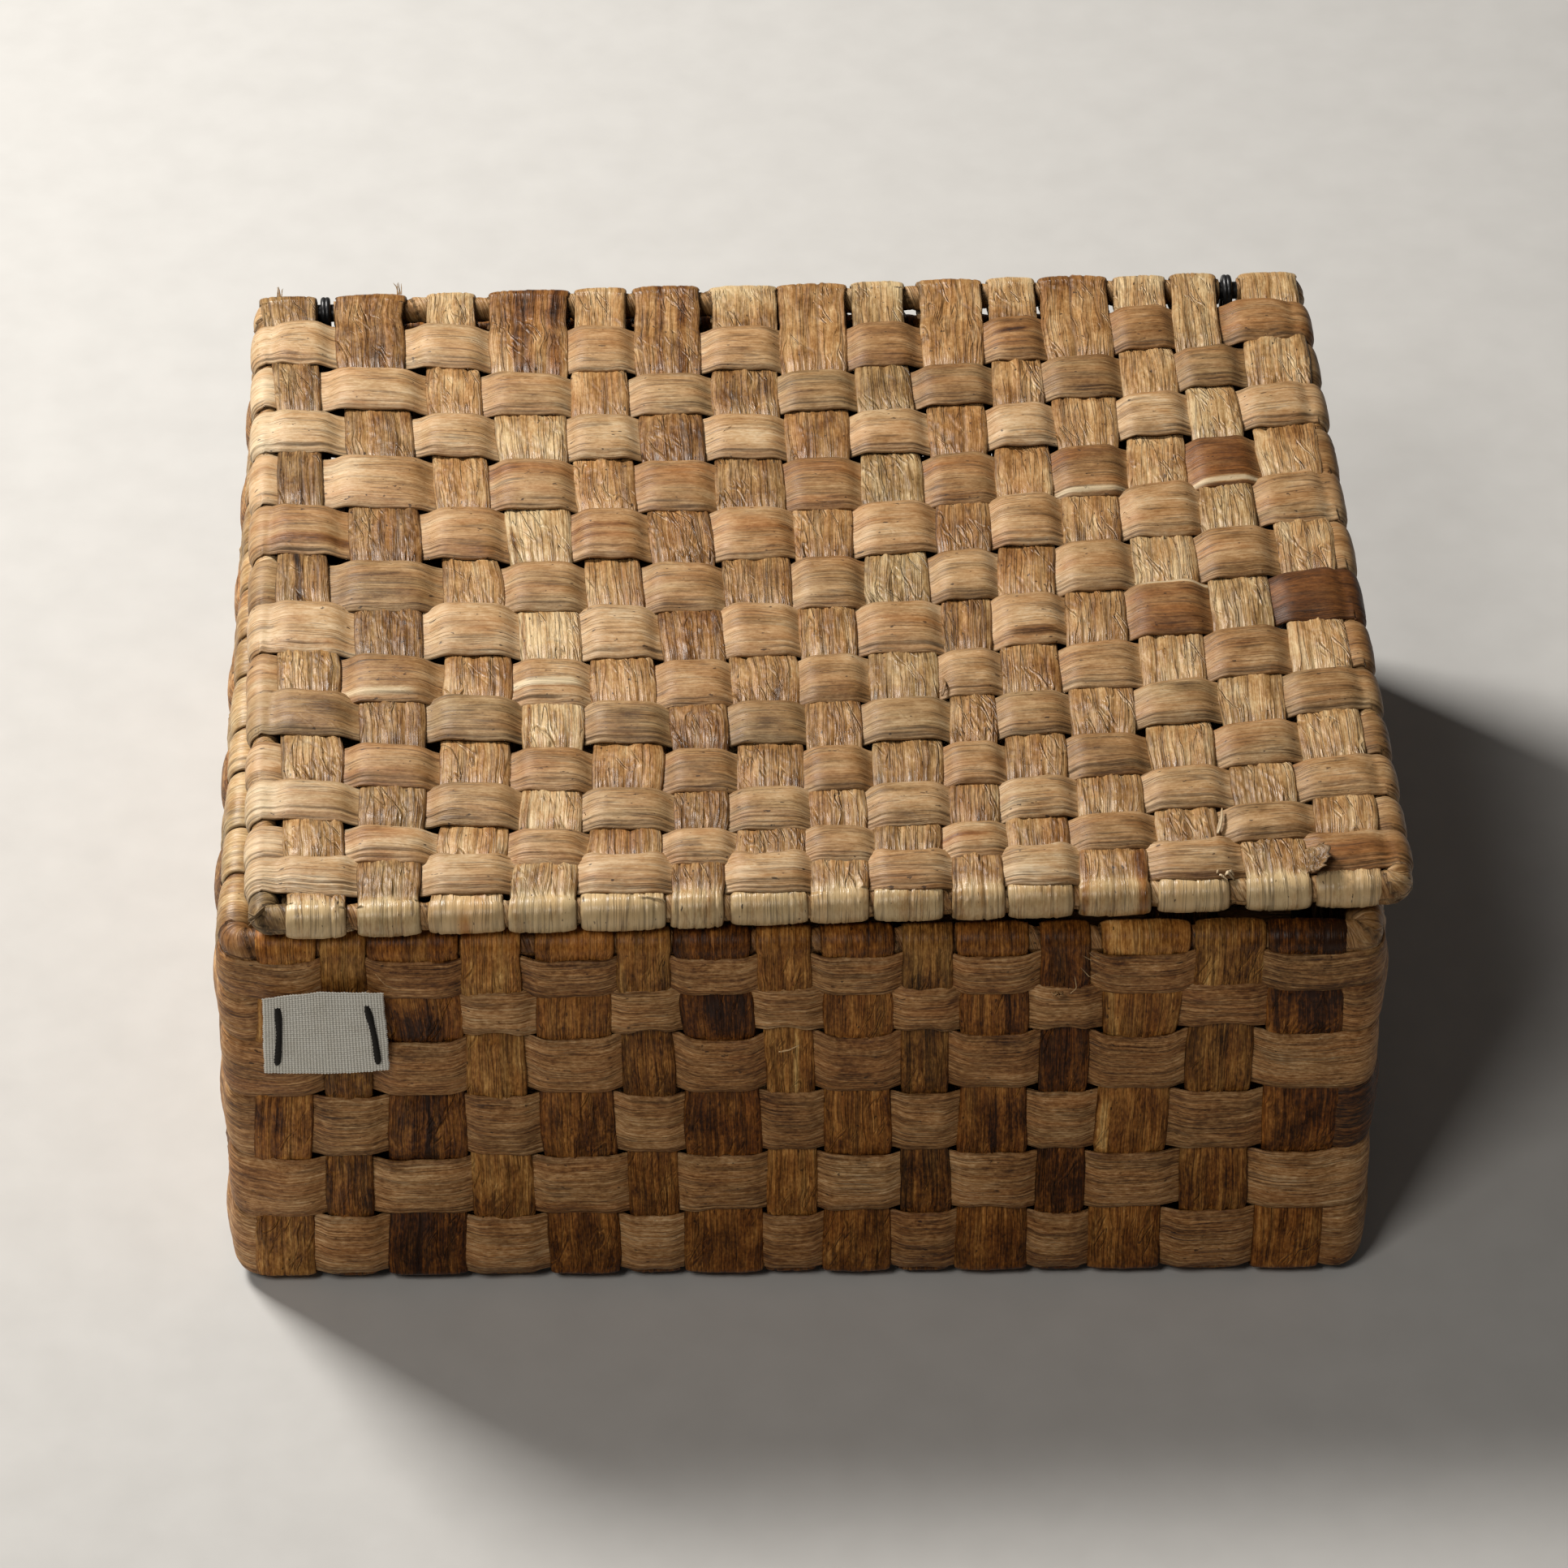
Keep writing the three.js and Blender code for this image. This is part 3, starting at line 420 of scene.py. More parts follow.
    # colour and grain
    light, red, grey = [np.asarray(v, float) for v in tone]
    L = light + 0.06 * noise(s / 24, 0, seed + 61) + 0.03 * noise(s / 7, 0, seed + 62)
    R = red + 0.06 * np.clip(noise(s / 30, 0, seed + 63), 0, 1)
    G = grey + 0.06 * noise(s / 34, 0, seed + 64)
    for a, b, dl, dr, dg in patches:
        k = step(a - 3, a + 3, s) * (1 - step(b - 3, b + 3, s))
        L, R, G = L + dl * k, R + dr * k, G + dg * k
    tint = np.stack([np.broadcast_to(q[:, None], (n, m)) for q in (L, R, G)], -1).copy()
    tint[:, :TOP_POINTS, 0] += 0.06 * noise(V / 5, S / 24, seed + 65) + 0.05 * noise(V / 3, S / 7, seed + 66)
    tint[:, :TOP_POINTS, 1] += 0.16 * step(0.1, 0.6, noise(V / 4, S / 30, seed + 67))
    for a, b, v, width, dl, dr, dg in lines:
        k = (step(a - 3, a + 3, s) * (1 - step(b - 3, b + 3, s)))[:, None] * np.exp(-np.abs((V - v - 0.5 * noise(s / 9, 1, seed + 68)[:, None]) / width) ** 3)
        for channel, d in enumerate((dl, dr, dg)):
            tint[:, :TOP_POINTS, channel] += d * k
    tint[:, TOP_POINTS:, 0] -= 0.04
    full = np.concatenate([shade_and_dark_lines, np.zeros((n, len(tu)))], 1)
    # painted shade: darker towards both edges, where the strip turns under
    shade = np.abs(np.concatenate([t, tu]))[None, :] ** 8 * 0.42
    full = np.clip(full + shade, 0, 1)
    fib = np.zeros((n, m, 3))
    fib[..., 0] = s[:, None] * 0.001
    fib[..., 1] = np.concatenate([np.broadcast_to(V, (n, TOP_POINTS)), np.broadcast_to(tu[None, :] * hw + 60, (n, len(tu)))], 1) * 0.001
    fib[..., 2] = (seed % 97) * 0.37
    return mesh_object(
        name, co.reshape(-1, 3), [quads, caps],
        {"fib": fib.reshape(-1, 3), "tint": tint.reshape(-1, 3), "shade_and_dark_lines": full.reshape(-1), "smooth": np.broadcast_to((1 - calm) / 0.75, (n, m)).reshape(-1)},
        material, body, nodes,
    )


def sections(s, spacing, fine=(), coarse=()):
    """Places along a path: even steps, with finer and coarser ones in the given stretches."""
    out, x = [s[0]], s[0]
    while x < s[-1] - 1e-6:
        d = spacing
        for a, b in fine:
            if a - 1 <= x <= b:
                d = min(d, 0.55)
        for a, b, step_here in coarse:
            if a <= x <= b:
                d = step_here
        x = min(x + d, s[-1])
        out.append(x)
    if len(out) > 2 and out[-1] - out[-2] < 0.15:
        out.pop(-2)
    return np.array(out)


def pick(at, s, *rows):
    return [np.stack([np.interp(at, s, r[:, k]) for k in range(r.shape[1])], -1) for r in rows]


# ---------------------------------------------------------------- materials
def new_material(name):
    m = bpy.data.materials.new(name)
    m.use_nodes = True
    nt = m.node_tree
    nt.nodes.clear()
    out = nt.nodes.new("ShaderNodeOutputMaterial")
    bsdf = nt.nodes.new("ShaderNodeBsdfPrincipled")
    nt.links.new(bsdf.outputs["BSDF"], out.inputs["Surface"])
    return m, nt, bsdf


class Graph:
    def __init__(self, nt):
        self.nt = nt

    def add(self, kind, **values):
        n = self.nt.nodes.new(kind)
        for k, v in values.items():
            setattr(n, k, v)
        return n

    def put(self, socket, value):
        if hasattr(value, "is_output"):
            self.nt.links.new(value, socket)
        else:
            socket.default_value = value

    def math(self, op, a, b=None, c=None, clamp=False):
        n = self.add("ShaderNodeMath", operation=op, use_clamp=clamp)
        for i, v in enumerate((a, b, c)):
            if v is not None:
                self.put(n.inputs[i], v)
        return n.outputs[0]

    def noise(self, vector, scale, detail=3.0, rough=0.55, lacunarity=2.0):
        n = self.add("ShaderNodeTexNoise", noise_dimensions="3D")
        self.put(n.inputs["Vector"], vector)
        n.inputs["Scale"].default_value = scale
        n.inputs["Detail"].default_value = detail
        n.inputs["Roughness"].default_value = rough
        n.inputs["Lacunarity"].default_value = lacunarity
        return n.outputs["Fac"]

    def ramp(self, value, stops, interpolation="LINEAR"):
        n = self.add("ShaderNodeValToRGB")
        n.color_ramp.interpolation = interpolation
        while len(n.color_ramp.elements) < len(stops):
            n.color_ramp.elements.new(0.5)
        for e, (at, colour) in zip(n.color_ramp.elements, stops):
            e.position = at
            e.color = colour if len(colour) == 4 else (*colour, 1)
        self.put(n.inputs["Fac"], value)
        return n.outputs["Color"]

    def mix(self, factor, a, b, kind="MIX"):
        n = self.add("ShaderNodeMix", data_type="RGBA", blend_type=kind)
        self.put(n.inputs["Factor"], factor)
        self.put(n.inputs[6], a)
        self.put(n.inputs[7], b)
        return n.outputs[2]

    def vector(self, x, y, z):
        n = self.add("ShaderNodeCombineXYZ")
        for i, v in enumerate((x, y, z)):
            self.put(n.inputs[i], v)
        return n.outputs[0]

    def range(self, value, a, b, c=0.0, d=1.0, smooth=False):
        n = self.add("ShaderNodeMapRange")
        if smooth:
            n.interpolation_type = "SMOOTHSTEP"
        self.put(n.inputs["Value"], value)
        n.inputs["From Min"].default_value = a
        n.inputs["From Max"].default_value = b
        n.inputs["To Min"].default_value = c
        n.inputs["To Max"].default_value = d
        return n.outputs["Result"]


def srgb(r, g, b):
    return tuple((v / 255 / 12.92) if v / 255 <= 0.04045 else (((v / 255) + 0.055) / 1.055) ** 2.4 for v in (r, g, b))


def stalk_material(name, rough=0.46, grain=1.0, crumple=0.5, cast=(1.0, 1.0, 1.0), lift=0.0, gloss=0.45, stained=0.4, relief=0.0004, streak=1.0, cloud=0.8, slick=0.0):
    """Dried stalk: fine threads and hairs along its length, blotches, specks, and long wrinkles that wander and fork.
    The wrinkle crests are painted lighter (painted highlight) and their valleys darker (painted shade), as are the
    grooves, fold steps and edges given by the mesh.
    """
    m, nt, bsdf = new_material(name)
    g = Graph(nt)
    fib = g.add("ShaderNodeAttribute", attribute_name="fib").outputs["Vector"]
    tint = g.add("ShaderNodeAttribute", attribute_name="tint").outputs["Vector"]
    shade_and_dark_lines = g.add("ShaderNodeAttribute", attribute_name="shade_and_dark_lines").outputs["Fac"]
    smooth = g.add("ShaderNodeAttribute", attribute_name="smooth").outputs["Fac"]
    rumpled = g.math("MULTIPLY_ADD", smooth, -0.85 * crumple, crumple)
    sep = g.add("ShaderNodeSeparateXYZ")
    g.put(sep.inputs[0], fib)
    s, v, seed = sep.outputs
    tsep = g.add("ShaderNodeSeparateXYZ")
    g.put(tsep.inputs[0], tint)
    light, red, grey = tsep.outputs

    # threads wander a little sideways, wrinkles wander more
    bend = g.math("SUBTRACT", g.noise(g.vector(g.math("MULTIPLY", s, 55), g.math("MULTIPLY", v, 150), seed), 1.0, 2.0, 0.5), 0.5)
    v2 = g.math("MULTIPLY_ADD", bend, 0.0014, v)
    v3 = g.math("MULTIPLY_ADD", bend, 0.0036, v)

    def along(ss, vv, off, across=None):
        return g.vector(g.math("MULTIPLY", s, ss), g.math("MULTIPLY", v2 if across is None else across, vv), g.math("ADD", seed, off))

    def more(value, amount, base, middle=0.5):
        return g.math("MULTIPLY_ADD", g.math("SUBTRACT", value, middle), amount, base)

    def lines_of(value, level, width):
        """1 on the line where a noise passes a level, falling to 0 beside it."""
        return g.range(g.math("ABSOLUTE", g.math("SUBTRACT", value, level)), 0.0, width, 1.0, 0.0, True)

    fine = g.noise(along(64, 3500, 0), 1.0, 2.0, 0.6)
    thread = g.noise(along(34, 1700, 3.1), 1.0, 2.0, 0.6)
    band = g.noise(along(26, 430, 7.7), 1.0, 2.0, 0.5)
    blotch = g.noise(along(120, 210, 11.3), 1.0, 4.0, 0.66)
    patch = g.noise(along(60, 90, 13.9), 1.0, 2.0, 0.5)
    grit = g.noise(along(600, 1500, 17.9), 1.0, 3.0, 0.65)
    speck = g.noise(along(430, 800, 23.3), 1.0, 2.0, 0.5)
    # long hairs, dark and light, that come and go
    hair = g.noise(along(13, 560, 51.0), 1.0, 1.0, 0.5)
    there = g.noise(along(75, 260, 57.0), 1.0, 2.0, 0.5)
    dark_hair = g.math("MULTIPLY", g.math("MAXIMUM", lines_of(hair, 0.5, 0.032), lines_of(hair, 0.60, 0.028)), g.range(there, 0.42, 0.52, 0.0, 1.0, True))
    pale_hair = g.math("MULTIPLY", lines_of(hair, 0.42, 0.024), g.range(there, 0.42, 0.54, 1.0, 0.0, True))
    # wrinkles: one set nearly lengthwise, one set at a slant
    w1 = g.math("ABSOLUTE", g.math("SUBTRACT", g.noise(along(24, 430, 29.0, v3), 1.0, 1.0, 0.5), 0.5))
    slant = g.math("MULTIPLY_ADD", s, 0.30, v3)
    w2 = g.math("ABSOLUTE", g.math("SUBTRACT", g.noise(along(60, 260, 37.0, slant), 1.0, 1.0, 0.5), 0.5))
    w2_there = g.range(g.noise(along(70, 110, 43.0), 1.0, 2.0, 0.5), 0.50, 0.60, 0.0, 1.0, True)
    valley1 = g.range(w1, 0.0, 0.024, 1.0, 0.0, True)
    crest1 = g.range(w1, 0.05, 0.19, 0.0, 1.0, True)
    valley2 = g.math("MULTIPLY", g.range(w2, 0.0, 0.022, 1.0, 0.0, True), w2_there)
    beside2 = g.math("MULTIPLY", lines_of(w2, 0.045, 0.026), w2_there)
    wrinkle = g.math("MAXIMUM", g.math("MULTIPLY", valley1, g.range(patch, 0.42, 0.60, 0.0, 1.0, True)), valley2)
    # lightness
    d = g.math("ADD", light, lift)
    d = more(fine, 0.62 * grain, d)
    d = more(thread, 0.60 * grain * streak, d)
    d = more(band, 0.16, d)
    d = more(blotch, cloud, d)
    d = more(patch, 0.28, d)
    d = more(grit, 0.70 * grain, d)
    d = g.math("MULTIPLY_ADD", pale_hair, 0.13 * grain, d)
    # painted highlight: the wrinkle crests and the lines beside the slanted wrinkles are made lighter
    d = g.math("MULTIPLY_ADD", g.math("MULTIPLY", crest1, rumpled), 0.10, d)
    d = g.math("MULTIPLY_ADD", g.math("MULTIPLY", beside2, rumpled), 0.14, d)
    base = g.ramp(d, [
        (0.0, srgb(38, 21, 10)),
        (0.16, srgb(80, 50, 25)),
        (0.34, srgb(130, 91, 50)),
        (0.52, srgb(170, 131, 84)),
        (0.72, srgb(206, 171, 126)),
        (1.0, srgb(243, 224, 190)),
    ])
    # red-brown stain and grey weathering
    stain = g.math("MULTIPLY", g.range(g.noise(along(52, 190, 31.0), 1.0, 4.0, 0.6), 0.44, 0.68, 0.0, 1.0, True), stained)
    redness = g.math("MULTIPLY_ADD", stain, 0.5, red, clamp=True)
    deep = g.ramp(d, [(0.0, srgb(50, 26, 9)), (0.3, srgb(120, 73, 29)), (0.6, srgb(173, 113, 56)), (1.0, srgb(224, 174, 116))])
    colour = g.mix(redness, base, deep)
    ash = g.ramp(d, [(0.0, srgb(40, 33, 22)), (0.35, srgb(102, 88, 60)), (0.65, srgb(160, 143, 106)), (1.0, srgb(222, 209, 174))])
    weather = g.range(g.noise(along(40, 230, 41.0), 1.0, 3.0, 0.6), 0.35, 0.7, -0.14, 0.20, True)
    greyed = g.math("ADD", weather, grey, clamp=True)
    colour = g.mix(greyed, colour, ash)
    # dark specks, streaks and hairs, and painted shade in grooves, wrinkle valleys, fold steps and along the edges
    dots = g.range(speck, 0.69, 0.74, 0.0, 0.8, True)
    colour = g.mix(dots, colour, (*srgb(44, 26, 14), 1))
    dirt = g.math("MULTIPLY", g.range(thread, 0.30, 0.40, 0.6, 0.0, True), 0.8 * streak)
    colour = g.mix(dirt, colour, (*srgb(62, 36, 16), 1))
    dark = g.math("MAXIMUM", g.math("MULTIPLY", dark_hair, 0.72), g.math("MULTIPLY", g.math("MULTIPLY", wrinkle, rumpled), 0.62))
    dark = g.math("MAXIMUM", shade_and_dark_lines, dark, clamp=True)
    colour = g.mix(g.math("MULTIPLY", dark, 0.92), colour, g.mix(0.80, colour, (*srgb(30, 16, 7), 1)))
    if cast != (1.0, 1.0, 1.0):
        colour = g.mix(1.0, colour, (*cast, 1), "MULTIPLY")
    g.put(bsdf.inputs["Base Color"], colour)
    r = more(thread, 0.3, rough)
    r = g.math("MULTIPLY_ADD", shade_and_dark_lines, 0.25, r)
    r = more(blotch, 0.30, r)
    r = g.math("MULTIPLY_ADD", smooth, -slick, r)
    g.put(bsdf.inputs["Roughness"], g.math("MAXIMUM", r, 0.28))
    bsdf.inputs["Specular IOR Level"].default_value = gloss
    height = g.math("MULTIPLY_ADD", fine, 0.40, g.math("MULTIPLY", thread, 0.2 + 0.55 * streak))
    height = g.math("MULTIPLY_ADD", grit, 0.30, height)
    height = g.math("MULTIPLY_ADD", band, 0.25, height)
    height = g.math("MULTIPLY_ADD", dark_hair, -0.30 * grain, height)
    height = g.math("MULTIPLY_ADD", pale_hair, 0.22 * grain, height)
    folds = g.math("MULTIPLY_ADD", w1, 2.0, g.math("MULTIPLY_ADD", wrinkle, -0.55, g.math("MULTIPLY", beside2, 0.5)))
    folds = g.math("MULTIPLY_ADD", blotch, 0.5, folds)
    height = g.math("MULTIPLY_ADD", folds, rumpled, height)
    height = g.math("MULTIPLY", height, g.math("MULTIPLY_ADD", smooth, -0.5, 1.0))
    b = g.add("ShaderNodeBump")
    b.inputs["Strength"].default_value = 0.95
    b.inputs["Distance"].default_value = relief
    g.put(b.inputs["Height"], height)
    g.put(bsdf.inputs["Normal"], b.outputs["Normal"])
    return m


def steel_material():
    m, nt, bsdf = new_material("black_paint")
    g = Graph(nt)
    co = g.add("ShaderNodeTexCoord").outputs["Object"]
    a = g.noise(co, 900.0, 4.0, 0.6)
    b = g.noise(co, 120.0, 3.0, 0.5)
    g.put(bsdf.inputs["Base Color"], g.ramp(b, [(0.3, srgb(17, 17, 18)), (0.7, srgb(33, 33, 35))]))
    g.put(bsdf.inputs["Roughness"], g.range(a, 0.3, 0.7, 0.3, 0.46))
    bump = g.add("ShaderNodeBump")
    bump.inputs["Strength"].default_value = 0.3
    bump.inputs["Distance"].default_value = 0.0001
    g.put(bump.inputs["Height"], a)
    g.put(bsdf.inputs["Normal"], bump.outputs["Normal"])
    return m


def cloth_material():
    m, nt, bsdf = new_material("label_cloth")
    g = Graph(nt)
    fib = g.add("ShaderNodeAttribute", attribute_name="fib").outputs["Vector"]
    shade_and_dark_lines = g.add("ShaderNodeAttribute", attribute_name="shade_and_dark_lines").outputs["Fac"]
    a = g.noise(fib, 2600.0, 3.0, 0.6)
    b = g.noise(fib, 160.0, 3.0, 0.6)
    d = g.math("MULTIPLY_ADD", a, 0.5, g.math("MULTIPLY", b, 0.5))
    c = g.ramp(d, [(0.25, srgb(216, 210, 196)), (0.5, srgb(240, 237, 227)), (0.8, srgb(250, 249, 242))])
    # painted shade in the weave's hollows, between the threads
    c = g.mix(g.math("MULTIPLY", shade_and_dark_lines, 0.75, clamp=True), c, (*srgb(104, 96, 82), 1))
    g.put(bsdf.inputs["Base Color"], c)
    g.put(bsdf.inputs["Roughness"], g.range(a, 0.2, 0.8, 0.86, 0.97))
    bsdf.inputs["Specular IOR Level"].default_value = 0.2
    bsdf.inputs["Sheen Weight"].default_value = 0.25
    bump = g.add("ShaderNodeBump")
    bump.inputs["Strength"].default_value = 0.4
    bump.inputs["Distance"].default_value = 0.00008
    g.put(bump.inputs["Height"], a)
    g.put(bsdf.inputs["Normal"], bump.outputs["Normal"])
    return m


def thread_material():
    m, nt, bsdf = new_material("label_thread")
    g = Graph(nt)
    fib = g.add("ShaderNodeAttribute", attribute_name="fib").outputs["Vector"]
    a = g.noise(fib, 3.0, 4.0, 0.65)
    g.put(bsdf.inputs["Base Color"], g.ramp(a, [(0.3, srgb(12, 11, 10)), (0.75, srgb(46, 42, 38))]))
    g.put(bsdf.inputs["Roughness"], g.range(a, 0.2, 0.8, 0.7, 0.95))
    bsdf.inputs["Specular IOR Level"].default_value = 0.25
    bump = g.add("ShaderNodeBump")
    bump.inputs["Strength"].default_value = 0.6
    bump.inputs["Distance"].default_value = 0.00012
    g.put(bump.inputs["Height"], a)
    g.put(bsdf.inputs["Normal"], bump.outputs["Normal"])
    return m


WEFT = stalk_material("pale_stalk", 0.52, 0.66, 0.18, (0.735, 0.69, 0.645), -0.055, 0.36, 0.6, 0.00032, 0.22, 0.50)
WARP = stalk_material("golden_stalk", 0.40, 0.75, 0.9, (0.73, 0.645, 0.505), 0.085, 0.46, 0.25, 0.00044, 0.28, 0.75, 0.09)
BAND = stalk_material("wall_band_stalk", 0.50, 1.40, 0.3, (0.89, 0.75, 0.60), -0.015, 0.28, 0.3, 0.00040, 0.26, 0.40)
# the front and back uprights' stalk is darker and more saturated for the shade on the front wall, and the side strips
# get a paler, lighter copy where the key light falls: partly painted light, partly the strips' own colour
UPRIGHT = stalk_material("wall_upright_stalk", 0.42, 1.1, 0.9, (1.04, 0.81, 0.45), 0.0, 0.18, 0.4, 0.00046, 0.30, 0.72)
LIT_SIDE_STALK = stalk_material("lit_side_stalk", 0.44, 0.8, 0.7, (0.82, 0.75, 0.63), 0.08, 0.40, 0.35, 0.00040, 0.3, 0.7)
FILLER = stalk_material("filler_stalk", 0.48, 0.75, 0.5, (0.76, 0.70, 0.62), 0.0, 0.34, 0.4, 0.0004)
STEEL = steel_material()
CLOTH = cloth_material()
THREAD = thread_material()


# ---------------------------------------------------------------- tubes
def ring_line(rx, ry, radius, spacing=0.8, start=None, end=None):
    """Level rounded rectangle, from the middle of the rear side, anticlockwise seen from above, with outward normals."""
    pts, nrm = [], []

    def straight(a, b, n):
        k = max(2, int(math.dist(a, b) / spacing) + 1)
        for t in np.linspace(0, 1, k)[:-1]:
            pts.append((a[0] + (b[0] - a[0]) * t, a[1] + (b[1] - a[1]) * t))
            nrm.append(n)

    def bend(c, a0):
        k = max(4, int(radius * math.pi / 2 / (spacing * 0.5)) + 1)
        for t in np.linspace(0, 1, k)[:-1]:
            a = math.radians(a0 + 90 * t)
            pts.append((c[0] + radius * math.cos(a), c[1] + radius * math.sin(a)))
            nrm.append((math.cos(a), math.sin(a)))

    x, y = rx - radius, ry - radius
    straight((0, ry), (-x, ry), (0, 1))
    bend((-x, y), 90)
    straight((-rx, y), (-rx, -y), (-1, 0))
    bend((-x, -y), 180)
    straight((-x, -ry), (x, -ry), (0, -1))
    bend((x, -y), 270)
    straight((rx, -y), (rx, y), (1, 0))
    bend((x, y), 0)
    straight((x, ry), (0, ry), (0, 1))
    pts, nrm = np.array(pts), unit(np.array(nrm, float))
    s = np.concatenate([[0], np.cumsum(np.linalg.norm(np.diff(pts, axis=0), axis=1))])
    return s, pts, nrm


def tube(name, line, radius, material, body, nodes, closed=False, sides=24, place=None, fib_scale=1.0, radii=None, extra=None):
    line = np.asarray(line, float)
    n = len(line)
    if closed:
        T = unit(np.roll(line, -1, 0) - np.roll(line, 1, 0))
    else:
        T = unit(np.gradient(line, axis=0))
    # a frame that turns as little as possible along the line
    up = np.array([0.0, 0, 1]) if abs(T[0, 2]) < 0.8 else np.array([1.0, 0, 0])
    A = np.zeros((n, 3))
    a = up
    for i in range(n):
        a = a - T[i] * (a @ T[i])
        a = a / np.linalg.norm(a)
        A[i] = a
    Bv = np.cross(T, A)
    th = np.linspace(0, 2 * math.pi, sides, endpoint=False)
    r = np.full((n, sides), float(radius)) if radii is None else radii
    co = line[:, None] + (A[:, None] * np.cos(th)[None, :, None] + Bv[:, None] * np.sin(th)[None, :, None]) * r[..., None]
    if place:
        co = place(co)
    m = sides
    rows = n if closed else n - 1
    i = np.arange(rows)[:, None] * m
    i2 = ((np.arange(rows) + 1) % n)[:, None] * m
    j, jj = np.arange(m)[None, :], ((np.arange(m) + 1) % m)[None, :]
    quads = np.stack([i + j, i + jj, i2 + jj, i2 + j], -1).reshape(-1, 4)
    faces = [quads]
    if not closed:
        faces.append(np.stack([np.arange(m)[::-1], np.arange(m) + (n - 1) * m]))
    s = np.concatenate([[0], np.cumsum(np.linalg.norm(np.diff(line, axis=0), axis=1))])
    fib = np.zeros((n, m, 3))
    fib[..., 0] = s[:, None] * 0.001 * fib_scale
    fib[..., 1] = (th[None, :] * float(np.mean(r))) * 0.001 * fib_scale
    attributes = {"fib": fib.reshape(-1, 3)}
    if extra:
        attributes.update(extra)
    return mesh_object(name, co.reshape(-1, 3), faces, attributes, material, body, nodes)


# ---------------------------------------------------------------- the lid
def smooth_table(knots, lo, hi, sigma):
    """Knots of (place, values...) turned into a smooth table on whole millimetres."""
    knots = sorted(knots)
    grid = np.arange(lo, hi + 1.0)
    rows = [blur(np.interp(grid, [k[0] for k in knots], [k[c] for k in knots]), 1.0, sigma) for c in range(1, len(knots[0]))]
    return grid, rows


LID_TABLES = [smooth_table([(-133, *LID_FRONT[i])] + LID_COLUMNS[i] + [(126, *LID_BACK[i]), (135, *LID_BACK[i])], -140, 140, 7) for i in range(15)]


def lid_column(i, y):
    grid, (a, b) = LID_TABLES[i]
    return np.interp(y, grid, a), np.interp(y, grid, b)


def lid_row_mid(r, x):
    """Middle of row r (0 first) at x: measured at three places, with the rows bowing a little to the front in the middle."""
    left, mid, right, _ = ROWS[r]
    x = np.asarray(x, float)
    bow = [1.7, 2.8][r] if r < 2 else 3.8
    return mid + (right - left) / 280 * x + bow * (2.2 * (x / 135) ** 2 - 1)


# how light, red and grey each strip is, at the front fold, then at y = -95, -20, 60, 110 and the rear fold
LID_WARP_TONES = [
    [(0.50, 0.05, 0.05), (0.56, 0.00, 0.12), (0.50, 0.02, 0.20), (0.42, 0.04, 0.30), (0.40, 0.04, 0.35), (0.48, 0.00, 0.50)],
    [(0.44, 0.00, 0.30), (0.44, 0.00, 0.26), (0.42, 0.04, 0.22), (0.40, 0.06, 0.24), (0.40, 0.10, 0.10), (0.42, 0.10, 0.04)],
    [(0.60, 0.16, 0.00), (0.56, 0.16, 0.00), (0.56, 0.10, 0.04), (0.58, 0.14, 0.02), (0.58, 0.14, 0.02), (0.78, 0.00, 0.08)],
    [(0.62, 0.02, 0.22), (0.70, 0.02, 0.14), (0.72, 0.00, 0.18), (0.66, 0.00, 0.16), (0.46, 0.20, 0.04), (0.36, 0.34, 0.00)],
    [(0.60, 0.08, 0.02), (0.54, 0.16, 0.00), (0.58, 0.16, 0.00), (0.56, 0.24, 0.00), (0.58, 0.12, 0.02), (0.66, 0.02, 0.10)],
    [(0.46, 0.04, 0.16), (0.42, 0.10, 0.08), (0.40, 0.12, 0.08), (0.36, 0.12, 0.12), (0.44, 0.16, 0.00), (0.44, 0.16, 0.00)],
    [(0.50, 0.04, 0.18), (0.46, 0.08, 0.10), (0.46, 0.06, 0.16), (0.44, 0.04, 0.22), (0.46, 0.04, 0.22), (0.84, 0.00, 0.20)],
    [(0.54, 0.14, 0.00), (0.52, 0.12, 0.04), (0.50, 0.10, 0.08), (0.48, 0.14, 0.04), (0.54, 0.16, 0.00), (0.54, 0.14, 0.00)],
    [(0.50, 0.02, 0.18), (0.44, 0.02, 0.26), (0.54, 0.00, 0.44), (0.54, 0.00, 0.62), (0.50, 0.00, 0.56), (0.82, 0.00, 0.22)],
    [(0.44, 0.08, 0.04), (0.42, 0.08, 0.10), (0.46, 0.10, 0.08), (0.46, 0.12, 0.06), (0.52, 0.20, 0.00), (0.52, 0.18, 0.00)],
    [(0.48, 0.08, 0.06), (0.50, 0.08, 0.08), (0.50, 0.08, 0.08), (0.48, 0.12, 0.06), (0.46, 0.06, 0.14), (0.78, 0.00, 0.04)],
    [(0.46, 0.14, 0.02), (0.52, 0.12, 0.02), (0.52, 0.10, 0.04), (0.54, 0.10, 0.02), (0.48, 0.20, 0.00), (0.40, 0.26, 0.00)],
    [(0.56, 0.10, 0.02), (0.60, 0.10, 0.02), (0.66, 0.06, 0.02), (0.60, 0.16, 0.00), (0.58, 0.14, 0.00), (0.78, 0.00, 0.02)],
    [(0.50, 0.02, 0.14), (0.56, 0.02, 0.16), (0.56, 0.00, 0.30), (0.60, 0.00, 0.34), (0.60, 0.00, 0.28), (0.56, 0.02, 0.24)],
    [(0.54, 0.08, 0.00), (0.60, 0.06, 0.04), (0.64, 0.06, 0.04), (0.58, 0.10, 0.02), (0.58, 0.06, 0.10), (0.70, 0.00, 0.16)],
]
